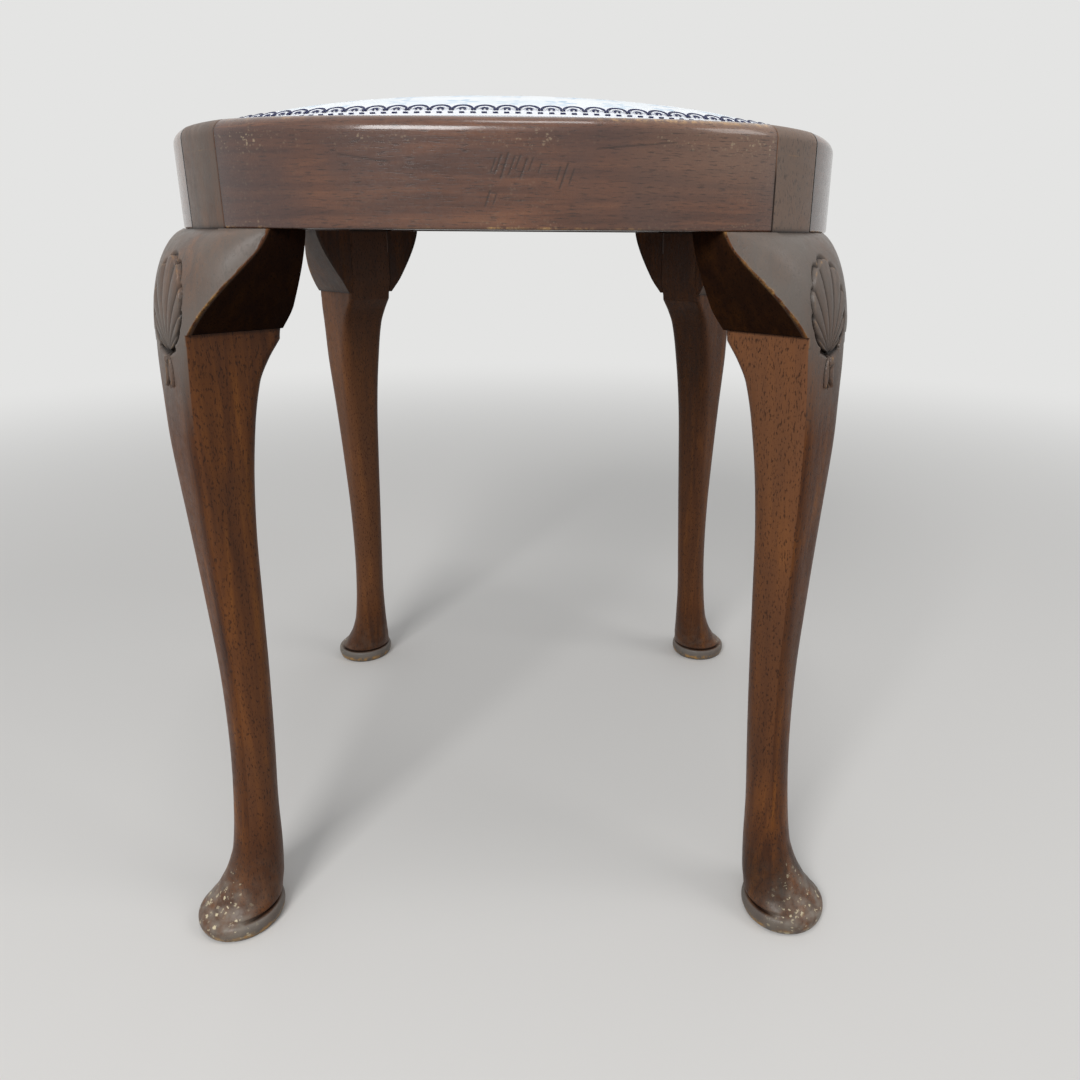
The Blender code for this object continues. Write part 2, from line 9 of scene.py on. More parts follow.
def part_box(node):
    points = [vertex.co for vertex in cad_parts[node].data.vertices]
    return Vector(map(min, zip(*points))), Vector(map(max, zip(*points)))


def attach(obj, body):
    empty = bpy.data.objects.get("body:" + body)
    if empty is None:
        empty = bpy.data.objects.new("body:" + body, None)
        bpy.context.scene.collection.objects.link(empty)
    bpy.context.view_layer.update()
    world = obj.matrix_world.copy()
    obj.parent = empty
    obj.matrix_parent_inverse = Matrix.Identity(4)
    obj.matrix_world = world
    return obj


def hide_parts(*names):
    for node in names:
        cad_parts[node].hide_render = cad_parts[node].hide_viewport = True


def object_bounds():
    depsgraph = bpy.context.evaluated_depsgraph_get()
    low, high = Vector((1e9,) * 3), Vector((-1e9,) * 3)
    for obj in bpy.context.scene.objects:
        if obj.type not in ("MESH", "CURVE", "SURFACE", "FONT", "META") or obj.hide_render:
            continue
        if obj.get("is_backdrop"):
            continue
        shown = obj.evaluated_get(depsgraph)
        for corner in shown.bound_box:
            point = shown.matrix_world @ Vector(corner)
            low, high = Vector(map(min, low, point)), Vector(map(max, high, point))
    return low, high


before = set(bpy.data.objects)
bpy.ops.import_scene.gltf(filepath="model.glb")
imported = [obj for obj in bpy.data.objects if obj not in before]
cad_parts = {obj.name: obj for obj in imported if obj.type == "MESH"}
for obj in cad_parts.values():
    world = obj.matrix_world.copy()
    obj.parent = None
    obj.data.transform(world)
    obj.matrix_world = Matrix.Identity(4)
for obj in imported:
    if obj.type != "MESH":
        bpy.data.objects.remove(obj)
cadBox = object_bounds()
scene = bpy.context.scene
print("frame loaded:", len(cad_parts), "nodes")

railLow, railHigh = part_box("rail_front")
plan = {  # metres, the shape that rails, posts and seat share
    "railTop": railHigh.z - 0.0006,
    "railBottom": railLow.z,
    "halfWidth": -railLow.y,
    "squareness": 2.6,
    "postHalf": 0.019,
    "gap": 0.0003,
}
corners = {"back_right": 45, "back_left": 135, "front_left": 225, "front_right": 315}
sides = {"right": 0, "back": 90, "left": 180, "front": 270}
sideOrder = list(sides)


# Outline of the stool seen from above

def superRadius(angle, power):
    return (np.abs(np.cos(angle)) ** power + np.abs(np.sin(angle)) ** power) ** (-1 / power)


def outline(angle, halfWidth):
    radius = halfWidth * superRadius(angle, plan["squareness"])
    return np.stack([radius * np.cos(angle), radius * np.sin(angle)], axis=-1)


cornerTurn = np.linspace(-math.pi / 4, math.pi / 4, 4001)
cornerReach = superRadius(math.pi / 4 + cornerTurn, plan["squareness"])
cornerAcross = cornerReach * np.sin(cornerTurn)
cornerOut = cornerReach * np.cos(cornerTurn)


def cornerFace(across, halfWidth):  # how far out the outline is, at a distance across from a corner's middle
    return halfWidth * np.interp(across / halfWidth, cornerAcross, cornerOut)


def cornerAngle(across, halfWidth):
    return np.interp(across / halfWidth, cornerAcross, cornerTurn)


cornerMiddle = float(cornerFace(0.0, plan["halfWidth"]))


# Meshes

def turned(points, degrees):
    c, s = math.cos(math.radians(degrees)), math.sin(math.radians(degrees))
    spun = points.copy()
    spun[..., 0] = c * points[..., 0] - s * points[..., 1]
    spun[..., 1] = s * points[..., 0] + c * points[..., 1]
    return spun


def addPiece(name, mesh, material, body, slot, *nodes):
    piece = bpy.data.objects.new(name, mesh)
    scene.collection.objects.link(piece)
    if material:
        mesh.materials.clear()
        mesh.materials.append(material)
    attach(piece, body)
    if nodes:
        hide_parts(*nodes)
    return piece


def ringMesh(name, rings, capped=True):  # closed mesh through rings of equally many points
    rows, columns = rings.shape[:2]
    index = np.arange(rows * columns).reshape(rows, columns)
    after = np.roll(index, -1, axis=1)
    quads = np.stack([index[:-1], after[:-1], after[1:], index[1:]], axis=-1).reshape(-1, 4)
    faces = quads.tolist()
    if capped:
        faces += [index[0, ::-1].tolist(), index[-1].tolist()]
    mesh = bpy.data.meshes.new(name)
    mesh.from_pydata(rings.reshape(-1, 3).tolist(), [], faces)
    tidyMesh(mesh)
    return mesh


def tidyMesh(mesh):  # faces outwards, smooth shading with the real corners kept sharp
    bm = bmesh.new()
    bm.from_mesh(mesh)
    bmesh.ops.recalc_face_normals(bm, faces=bm.faces)
    bm.to_mesh(mesh)
    bm.free()
    mesh.shade_smooth()
    mesh.set_sharp_from_angle(angle=math.radians(50))


def storeValues(mesh, name, values):
    layer = mesh.attributes.new(name, "FLOAT", "POINT")
    layer.data.foreach_set("value", np.asarray(values, dtype=np.float32).ravel())


def storeVectors(mesh, name, values):
    layer = mesh.attributes.new(name, "FLOAT_VECTOR", "POINT")
    layer.data.foreach_set("vector", np.asarray(values, dtype=np.float32).ravel())


def storeBend(mesh, keep=1.0, passes=2):  # curvature of the surface in 1/m: above 0 on edges, below 0 in grooves
    count = len(mesh.vertices)
    points = np.empty(count * 3)
    mesh.vertices.foreach_get("co", points)
    points = points.reshape(-1, 3)
    normals = np.empty(count * 3)
    mesh.vertex_normals.foreach_get("vector", normals)
    normals = normals.reshape(-1, 3)
    ends = np.empty(len(mesh.edges) * 2, dtype=np.int32)
    mesh.edges.foreach_get("vertices", ends)
    a, b = ends.reshape(-1, 2).T
    along = points[b] - points[a]
    length = np.linalg.norm(along, axis=1) + 1e-9
    fallA = -2 * np.einsum("ij,ij->i", normals[a], along) / length
    fallB = 2 * np.einsum("ij,ij->i", normals[b], along) / length
    total = np.bincount(a, fallA, count) + np.bincount(b, fallB, count)
    span = np.bincount(a, length, count) + np.bincount(b, length, count)
    bend = total / (span + 1e-9)
    joins = np.bincount(a, minlength=count) + np.bincount(b, minlength=count)
    for _ in range(passes):
        around = np.bincount(a, bend[b], count) + np.bincount(b, bend[a], count)
        bend = (bend + around / np.maximum(joins, 1)) / 2
    storeValues(mesh, "bend", bend * np.ravel(keep))


def storeMarks(mesh, keep, **marks):  # shares that the walnut reads, beside the curvature
    storeBend(mesh, keep)
    for name, values in marks.items():
        storeValues(mesh, name, values)


def smooth(share):
    return share * share * (3 - 2 * share)


def waver(values, period, seed):  # smooth chance curve between 0 and 1, the same each run
    count = 400
    knots = np.random.default_rng(seed).random(count)
    place = np.asarray(values) / period + 100  # value 0 falls on knot 100
    low = np.floor(place).astype(int)
    share = smooth(place - low)
    return knots[low % count] * (1 - share) + knots[(low + 1) % count] * share


def bell(distance, width):
    return np.exp(-((distance / width) ** 2))


def rising(distance, length):  # from 0 to 1 over the length
    return np.clip(distance / length, 0, 1)


def hermite(rows, heights):  # cubic curves through rows of (height, values...), slopes from the neighbours
    rows = np.array(rows)
    knots, values = rows[:, 0], rows[:, 1:]
    before = np.maximum(np.arange(len(knots)) - 1, 0)
    after = np.minimum(np.arange(len(knots)) + 1, len(knots) - 1)
    slopes = (values[after] - values[before]) / (knots[after] - knots[before])[:, None]
    cell = np.clip(np.searchsorted(knots, heights, side="right") - 1, 0, len(knots) - 2)
    span = (knots[cell + 1] - knots[cell])[:, None]
    t = ((heights - knots[cell])[:, None]) / span
    rise = 3 * t * t - 2 * t**3
    start = (t - 2 * t * t + t**3) * span * slopes[cell]
    end = (t**3 - t * t) * span * slopes[cell + 1]
    return values[cell] * (1 - rise) + values[cell + 1] * rise + start + end


# Materials

def linear(hexColour):
    parts = [int(hexColour[i : i + 2], 16) / 255 for i in (1, 3, 5)]
    return [*(p / 12.92 if p <= 0.04045 else ((p + 0.055) / 1.055) ** 2.4 for p in parts), 1.0]


# kinds of nodes that are used often, with their settings
multiply = ("ShaderNodeMath", {"operation": "MULTIPLY"})
multiplyAdd = ("ShaderNodeMath", {"operation": "MULTIPLY_ADD"})
subtract = ("ShaderNodeMath", {"operation": "SUBTRACT"})
larger = ("ShaderNodeMath", {"operation": "MAXIMUM"})
sine = ("ShaderNodeMath", {"operation": "SINE"})
cosine = ("ShaderNodeMath", {"operation": "COSINE"})
angleOf = ("ShaderNodeMath", {"operation": "ARCTAN2"})
toRange = ("ShaderNodeMapRange", {})  # value, from least, from most, to least, to most
mixColour = ("ShaderNodeMix", {"data_type": "RGBA"})  # share 0, colours 6 and 7, result 2
noise = ("ShaderNodeTexNoise", {})
colourRamp = ("ShaderNodeValToRGB", {})
byCount = ("GeometryNodeResampleCurve", {"mode": "COUNT"})


def feed(tree, node, inputs):  # links or constants, where a node stands for its first output
    for key, value in inputs.items():
        source = value.outputs[0] if isinstance(value, bpy.types.Node) else value
        if isinstance(source, bpy.types.NodeSocket):
            tree.links.new(source, node.inputs[key])
        else:
            node.inputs[key].default_value = source


def addNode(tree, kind, settings=None, inputs=None, stops=None):
    made = tree.nodes.new(kind)
    for name, value in (settings or {}).items():
        setattr(made, name, value)
    feed(tree, made, inputs or {})
    if stops:  # places and colours of a colour ramp
        ramp = made.color_ramp.elements
        while len(ramp) < len(stops):
            ramp.new(0.5)
        for element, (place, colour) in zip(ramp, stops):
            element.position = place
            element.color = linear(colour)
    return made


def addSteps(tree, found, steps):  # result, kind and inputs of each node: a name stands for an earlier result
    for name, kind, *inputs in steps:
        known = {place: found.get(value, value) for place, value in enumerate(inputs)}
        found[name] = addNode(tree, *kind, known).outputs[0]


def startMaterial(name, **constants):  # constants go straight onto the shader's sockets
    material = bpy.data.materials.new(name)
    material.use_nodes = True
    tree = material.node_tree
    shader = tree.nodes["Principled BSDF"]
    feed(tree, shader, {key.replace("_", " "): value for key, value in constants.items()})
    return material, tree, shader


def makeWalnut(name, look):
    # Stained walnut under an old wax and varnish polish: brown streaks and short dark pores along the grain,
    # dark dirt in hollows, painted shade in deep cuts and under the ears, painted grey reflection and painted light
    # in places, bare golden wood where edges are rubbed, and a soft clear gloss
    material, tree, shader = startMaterial(
        name,
        Coat_Weight=look["coat"],
        Coat_Roughness=look["coatRoughness"],
        IOR=1.5,
        Specular_IOR_Level=look["specular"],
    )
    spot = addNode(tree, "ShaderNodeTexCoord").outputs["Object"]
    grain = spot
    if look["followsRail"]:
        grain = addNode(tree, "ShaderNodeAttribute", {"attribute_name": "grain"}).outputs["Vector"]
    found = {"height": addNode(tree, "ShaderNodeSeparateXYZ", {}, {"Vector": spot}).outputs["Z"]}
    for mark in ("bend", "faded", "pale", "haze", "rub", "toe", "grime"):  # stored on the meshes
        found[mark] = addNode(tree, "ShaderNodeAttribute", {"attribute_name": mark}).outputs["Fac"]
    spaces = {"plain": spot}
    for space, start, scale in (
        ("streak", grain, look["streakScale"]),
        ("pore", grain, look["poreScale"]),
        ("scuff", spot, (1 / 0.008, 1 / 0.008, 1 / 0.006)),
        ("nick", spot, (1 / look["cell"], 1 / look["cell"], 1.2 / look["cell"])),
    ):
        spaces[space] = addNode(tree, "ShaderNodeMapping", {}, {"Vector": start, "Scale": scale})
    for pattern, space, scale, detail, roughness, distortion in (
        ("streaks", "streak", 1.0, 5.0, 0.58, 0.5),
        ("clouds", "plain", 1 / 0.045, 3.0, 0.5, 0.0),
        ("pores", "pore", 1.0, 2.0, 0.5, 0.0),
        ("chance", "plain", 1 / look["chip"], 4.0, 0.65, 0.0),
        ("scuffs", "scuff", 1.0, 4.0, 0.5, 0.0),
        ("ragged", "nick", 2.4, 3.0, 0.5, 0.0),
    ):
        values = {"Scale": scale, "Detail": detail, "Roughness": roughness, "Distortion": distortion}
        found[pattern] = addNode(tree, *noise, {"Vector": spaces[space], **values}).outputs["Fac"]
    cells = addNode(tree, "ShaderNodeTexVoronoi", {"feature": "F1"}, {"Vector": spaces["nick"], "Scale": 1.0})
    drawn = addNode(tree, "ShaderNodeSeparateColor", {}, {"Color": cells.outputs["Color"]})
    found["fromCell"], found["drawn"] = cells.outputs["Distance"], drawn.outputs["Red"]
    steps = (
        ("cloud", toRange, "clouds", 0.38, 0.68, 0.0, 0.75),
        ("pore", toRange, "pores", 0.56, 0.66, 0.0, 0.7),
        # grey bloom in the old polish with a painted grey reflection of the bright room, uneven in patches of some
        # centimetres
        ("uneven", toRange, "clouds", 0.35, 0.65, 0.7, 1.1),
        ("bloom", multiply, "haze", "uneven"),
        # rubbed edges: curvature above about 1/4 mm, broken up by chance
        ("edge", toRange, "bend", 260.0, 1100.0, 0.0, look["edge"]),
        ("rubbed", larger, "edge", "rub"),
        ("broken", toRange, "chance", 0.42, 0.62, 0.0, 1.0),
        ("bare", multiply, "rubbed", "broken"),
        # grey scuffs near the floor, most of them on the toes
        ("low", toRange, "height", 0.010, 0.052, 0.95, 0.0),
        ("patchy", toRange, "scuffs", 0.38, 0.66, 0.25, 1.0),
        ("onToe", toRange, "toe", 0.0, 1.0, 0.25, 1.0),
        ("lowScuff", multiply, "low", "patchy"),
        ("scuff", multiply, "lowScuff", "onToe"),
        # pale ragged nicks, from specks up to about half a cell wide
        ("nickReach", multiplyAdd, "drawn", 0.5, -0.50),
        ("nickEdge", multiplyAdd, "ragged", 1.0, "nickReach"),
        ("nickDepth", subtract, "nickEdge", "fromCell"),
        ("nickShare", toRange, "nickDepth", 0.0, 0.06, 0.0, 1.0),
        ("nickChance", multiply, "toe", "broken"),
        ("nick", multiply, "nickShare", "nickChance"),
        # old dirt in carving, grooves and joints, and painted shade stored on the meshes: under the ears, in the pads'
        # groove, along the soles and in the shell's cuts
        ("hollow", toRange, "bend", -90.0, -700.0, 0.0, 0.85),
        ("dirt", larger, "hollow", "grime"),
        ("rough", toRange, "chance", 0.3, 0.7, *look["rough"]),
        ("relief", multiplyAdd, "pore", -1.0, "chance"),
    )
    addSteps(tree, found, steps)
    colour = addNode(tree, *colourRamp, {"Fac": found["streaks"]}, look["wood"]).outputs["Color"]
    # layers from the meshes paint light, reflection and shade into the colour, beside stain, wear and dirt
    for layer in ("cloud", "faded", "pale", "pore", "bloom", "bare", "scuff", "nick", "dirt"):  # each over the last
        colour = addNode(tree, *mixColour, {0: found[layer], 6: colour, 7: linear(look[layer])}).outputs[2]
    bump = addNode(
        tree, "ShaderNodeBump", {}, {"Height": found["relief"], "Strength": look["relief"], "Distance": 0.0003}
    )
    feed(tree, shader, {"Base Color": colour, "Roughness": found["rough"], "Normal": bump})
    return material


wornLook = {
    "followsRail": False,
    "streakScale": (1 / 0.006, 1 / 0.006, 1 / 0.10),  # one over a streak's size each way
    "poreScale": (1 / 0.0008, 1 / 0.0008, 1 / 0.0024),
    "chip": 0.005,
    "cell": 0.0034,  # size of the cells that each hold a nick
    "relief": 0.35,
    "wood": [(0.28, "#3e2112"), (0.45, "#5a341b"), (0.58, "#70421f"), (0.78, "#8f5928")],
    "cloud": "#4d2e1c",
    # painted light: a lighter warm tone, and the pale tone on the next line
    "faded": "#8a5d40",
    "pale": "#a99a8c",
    "pore": "#22120b",
    # grey polish bloom with painted reflection
    "bloom": "#746e68",
    "bare": "#c99a5c",
    "scuff": "#867c71",
    "nick": "#d2c4a4",
    # dirt, and painted shade where the meshes ask for it
    "dirt": "#0f0907",
    "edge": 0.75,
    "rough": (0.30, 0.48),
    "specular": 0.15,
    "coat": 0.06,
    "coatRoughness": 0.22,
}
wornWalnut = makeWalnut("worn_walnut", wornLook)
unglossedShadeWalnut = makeWalnut(  # unglossed copy for the ear undersides, so that their painted shade stays dark
    "unglossed_shade_walnut", {**wornLook, "rough": (0.8, 0.9), "specular": 0.05, "coat": 0.0}
)
polishedWalnut = makeWalnut(
    "polished_walnut",
    {
        "followsRail": True,
        "streakScale": (1 / 0.075, 1 / 0.0045, 1.0),
        "poreScale": (1 / 0.006, 1 / 0.0006, 1.0),
        "chip": 0.003,
        "cell": 0.0016,
        "relief": 0.15,
        "wood": [(0.28, "#45281b"), (0.45, "#5e3b2a"), (0.58, "#714832"), (0.78, "#865a3e")],
        "cloud": "#553c32",
        # painted light: a lighter warm tone, and the pale tone on the next line
        "faded": "#8d6c57",
        "pale": "#a99a8c",
        "pore": "#2a1a13",
        # painted reflection: darker purple-grey over the polish bloom
        "bloom": "#443230",
        "bare": "#c59a62",
        "scuff": "#70665d",
        "nick": "#d2bd9a",
        # dirt, and painted shade where the meshes ask for it
        "dirt": "#120b09",
        "edge": 0.55,
        "rough": (0.22, 0.36),
        "specular": 0.3,
        "coat": 0.7,
        "coatRoughness": 0.12,
    },
)


def makeBeech():
    # Planed beech without finish: pale tan with short brown flecks and a dry, dull surface
    material, tree, shader = startMaterial("bare_beech", IOR=1.5, Specular_IOR_Level=0.3)
    spot = addNode(tree, "ShaderNodeTexCoord").outputs["Object"]
    flecks = addNode(
        tree, "ShaderNodeTexVoronoi", {"feature": "F1"}, {"Vector": spot, "Scale": 1 / 0.0022, "Randomness": 1.0}
    )
    fleckShare = addNode(
        tree,
        *toRange,
        {"Value": flecks.outputs["Distance"], "From Min": 0.15, "From Max": 0.35, "To Min": 0.35, "To Max": 0.0},
    )
    bands = addNode(tree, *noise, {"Vector": spot, "Scale": 1 / 0.018, "Detail": 4.0})
    tan = addNode(
        tree, *colourRamp, {"Fac": bands.outputs["Fac"]}, [(0.3, "#a07a4e"), (0.55, "#b48d5f"), (0.8, "#c49f70")]
    )
    flecked = addNode(tree, *mixColour, {0: fleckShare, 6: tan.outputs["Color"], 7: linear("#7d5a36")})
    rough = addNode(tree, *toRange, {"Value": bands.outputs["Fac"], "To Min": 0.62, "To Max": 0.8})
    bump = addNode(
        tree, "ShaderNodeBump", {}, {"Height": bands.outputs["Fac"], "Strength": 0.3, "Distance": 0.0004}
    )
    feed(tree, shader, {"Base Color": flecked.outputs[2], "Roughness": rough, "Normal": bump})
    return material


def makeSteel(name, colours):
    # Drawn steel that has dulled: grey metal with brown tarnish in blotches
    material, tree, shader = startMaterial(name, Metallic=1.0)
    spot = addNode(tree, "ShaderNodeTexCoord").outputs["Object"]
    blotches = addNode(tree, *noise, {"Vector": spot, "Scale": 1 / 0.002, "Detail": 4.0})
    tarnish = addNode(tree, *colourRamp, {"Fac": blotches.outputs["Fac"]}, list(zip((0.4, 0.65), colours)))
    rough = addNode(tree, *toRange, {"Value": blotches.outputs["Fac"], "To Min": 0.3, "To Max": 0.6})
    feed(tree, shader, {"Base Color": tarnish, "Roughness": rough})
    return material


def makeCloth(name, look):
    # Plain woven cloth: threads over and under in both directions, slightly uneven in colour and thickness
    material, tree, shader = startMaterial(
        name, Roughness=0.9, Specular_IOR_Level=0.2, Sheen_Weight=look["sheen"], Sheen_Roughness=0.5
    )
    spot = addNode(tree, "ShaderNodeTexCoord").outputs["Object"]
    turn = 2 * math.pi / (20 * look["pitch"])  # a wave texture repeats 20 / (2 pi) times for each unit of scale
    waves = {"Vector": spot, "Scale": turn, "Distortion": 0.6, "Detail": 1.0, "Detail Scale": 2.0}
    warp, weft = (addNode(tree, "ShaderNodeTexWave", {"bands_direction": way}, waves) for way in "XY")
    weave = addNode(tree, *multiply, {0: warp.outputs["Fac"], 1: weft.outputs["Fac"]})
    patches = addNode(tree, *noise, {"Vector": spot, "Scale": 1 / look["patch"], "Detail": 5.0})
    mixed = addNode(tree, *multiplyAdd, {0: weave, 1: 0.5, 2: patches.outputs["Fac"]})
    tone = addNode(tree, *colourRamp, {"Fac": mixed}, list(zip((0.35, 0.6, 0.95), look["colours"])))
    bump = addNode(tree, "ShaderNodeBump", {}, {"Height": weave, "Strength": 0.6, "Distance": look["pitch"] * 0.3})
    feed(tree, shader, {"Base Color": tone, "Normal": bump})
    return material


bareBeech = makeBeech()
screwSteel = makeSteel("screw_steel", ("#8a857d", "#5b4a3c"))
tackSteel = makeSteel("blued_tack_steel", ("#4a4c52", "#37312c"))
juteWebbing = makeCloth(
    "jute_webbing",
    {"pitch": 0.0022, "patch": 0.02, "sheen": 0.1, "colours": ("#6e5634", "#927549", "#ad9163")},
)
hessianCloth = makeCloth(
    "hessian", {"pitch": 0.0018, "patch": 0.03, "sheen": 0.1, "colours": ("#7b6238", "#a58a5c", "#bda477")}
)
blackCambric = makeCloth(
    "black_cambric", {"pitch": 0.0012, "patch": 0.03, "sheen": 0.15, "colours": ("#16150f", "#26241f", "#37342e")}
)
print("plain materials made")


# Legs: post, carved knee, shin and pad foot in one piece

leg = {
    "postDepth": 0.028,
    "kneeBulge": 0.0265,
    "kneeDrop": 0.055,
    "kneeFullness": 4.0,
    "earSpan": 0.048,
    "padRadius": 0.0251,
    "padOffset": 0.030,
    "padHeight": 0.046,
    "shinTop": 0.322,  # the rings lie closer above it
    "earFoot": 0.3582,  # height at which the ears start on the cheeks
    "ankleHeight": 0.112,
    "ankleWidth": 0.0248,
    "lipWidth": 0.016,
    "ledgeDepth": 0.0134,
    "rounding": 0.007,
    "grooveDepth": 0.0018,
    "grooveHeight": 0.0114,
    "grooveSpread": 0.0007,
    "haze": 0.78,  # share of grey polish bloom and painted reflection on the knees' outer faces
    "hazeReflectionFrom": 0.305,
    "hazeReflectionRise": 0.05,
    "postHazeAndReflection": 0.55,
    "cheekDirt": 0.95,  # on the cheeks where the ears join them
    # painted shade in the groove above the pad
    "grooveShade": 0.95,
    "soleRub": 1.5,
    "soleEdge": 0.0030,  # height of the rubbed edge of the pads
    "soleSpread": 0.0018,
    # painted shade along the sole, where the foot meets the floor
    "soleShade": 0.8,
    "toeNicks": 1.5,
    "instepDirt": {"front_right": 0.6},
    "faded": {  # share of a lighter warm tone at the knee and at the ankle: painted light on the cheeks, leg by leg
        "front_right": (0.55, 0.15),
        "front_left": (0.05, 0.20),
        "back_left": (0.45, 0.40),
        "back_right": (0.20, 0.15),
    },
    # painted light: the front right post paler and lighter
    "litPost": {"front_right": 0.25},
    "fadeFrom": 0.04,
    "fadeRise": 0.22,  # from the ankle to the knee
    "seamTops": {"front_left": 0.47, "front_right": 0.44},  # dirt in one joint of these posts, up to this height
    "seamDirt": 0.92,
}
shell = {
    "hinge": 0.3485,
    "height": 0.0465,
    "halfWidth": 0.0162,
    "spread": math.radians(68),
    "flutes": 9,
    "relief": 0.0021,
    "groove": 0.0013,
    "grooveWidth": 0.0010,
    "rimFade": 0.0013,
    "bed": 0.0011,  # the whole shell is sunk by this much
    "huskLength": 0.0170,
    "huskLean": 0.22,
    "huskHalf": 0.0023,
    "huskRise": 0.0010,
    "huskCut": 0.0008,
    "slitHalf": 0.0009,
    "slitDepth": 0.0020,
    "knotRadius": 0.0016,
    "knotDepth": 0.0012,
    "carvedBelow": 0.024,  # how far the carving goes from the hinge
    "carvedAbove": 0.053,
    "darkFrom": 0.0013,  # depth at which dirt and painted shade fill a hollow
}
kneeBottom = plan["railBottom"] - leg["kneeDrop"]
kneeDepth = leg["kneeBulge"] + leg["postDepth"]
postInner = cornerMiddle - leg["postDepth"]
shinShares = (  # height share from ankle to knee, outer, depth and width shares, squareness, crown
    (0.00, 0.875, 0.00, 0.00, 2.1, 0.0),
    (0.20, 0.835, 0.01, 0.08, 2.5, 0.0),
    (0.39, 0.885, 0.065, 0.24, 3.2, 0.0),
    (0.60, 0.97, 0.165, 0.52, 4.0, 0.1),
    (0.78, 1.04, 0.33, 0.85, 5.5, 0.35),
    (0.91, 1.03, 0.50, 0.955, 9.0, 0.7),
    (0.96, 1.015, 0.665, 1.0, 16.0, 0.85),
    (1.00, 1.0, 0.875, 1.0, 30.0, 1.0),
)
padShares = (  # height share of the foot, middle share from shin to pad, radius share
    (0.00, 1.00, 0.900),
    (0.02, 1.00, 0.945),
    (0.043, 1.00, 0.965),
    (0.109, 1.00, 1.000),
    (0.185, 1.00, 0.985),
    (0.228, 0.97, 0.930),
    (0.25, 0.93, 0.885),
    (0.283, 0.85, 0.885),
    (0.38, 0.625, 0.805),
    (0.50, 0.43, 0.745),
    (0.62, 0.28, 0.685),
    (0.76, 0.15, 0.633),
)


def kneeBulge(drop):
    share = rising(drop, leg["kneeDrop"])
    return leg["kneeBulge"] * np.sqrt(1 - (1 - share) ** 2)


def kneeFace(across, drop):
    fall = np.maximum(0.0, 1 - (np.abs(across) / leg["earSpan"]) ** leg["kneeFullness"])
    return cornerFace(across, plan["halfWidth"]) + kneeBulge(drop) * fall


def legStations():  # height, outer face, inner face, width, squareness, crown
    postWidth = 2 * plan["postHalf"]
    shares = [(leg["padHeight"], 1.12, 0.128, 0.288, 2.0, 0.0)]
    ankle, rise = leg["ankleHeight"], kneeBottom - leg["ankleHeight"]
    shares.append((leg["padHeight"] + 0.41 * (ankle - leg["padHeight"]), 0.985, 0.03, 0.05, 2.0, 0.0))
    shares += [(ankle + share * rise, *rest) for share, *rest in shinShares]
    shin = []
    for height, outer, depth, wide, squareness, crown in shares:
        face = cornerMiddle + leg["kneeBulge"] * outer
        inner = face - (leg["ankleWidth"] + (kneeDepth - leg["ankleWidth"]) * depth)
        width = leg["ankleWidth"] + (postWidth - leg["ankleWidth"]) * wide
        shin.append((height, face, inner, width, squareness, crown))
    shinMiddle = (shin[0][1] + shin[0][2]) / 2
    rows = []
    for height, share, radius in padShares:
        middle = shinMiddle + (cornerMiddle + leg["padOffset"] - shinMiddle) * share
        radius *= leg["padRadius"]
        rows.append((height * leg["padHeight"], middle + radius, middle - radius, 2 * radius, 2.0, 0.0))
    return rows + shin


legTurns = np.radians(  # most points lie on the carved outer face
    np.concatenate(
        [
            np.linspace(-47, 47, 104, endpoint=False),
            np.linspace(47, 133, 26, endpoint=False),
            np.linspace(133, 227, 24, endpoint=False),
            np.linspace(227, 313, 26, endpoint=False),
        ]
    )
)
facesOut = np.cos(legTurns) > np.abs(np.sin(legTurns)) - 1e-6


def softSquare(outer, inner, width, squareness, crown=0.0):
    reach = superRadius(legTurns, squareness)
    out = reach * np.cos(legTurns)
    across = width / 2 * reach * np.sin(legTurns)
    fall = cornerMiddle + leg["kneeBulge"] - kneeFace(across, leg["kneeDrop"])
    x = (outer + inner) / 2 + (outer - inner) / 2 * out - crown * fall * np.maximum(0.0, out)
    return x, across


def facedSquare(face, inner):
    x, across = softSquare(cornerMiddle, inner, 2 * plan["postHalf"], 40.0)
    limit = face(across)
    share = (x - inner) / (cornerMiddle - inner)  # columns spread evenly over the cheeks
    return np.where(facesOut, limit, inner + share * (limit - inner)), across


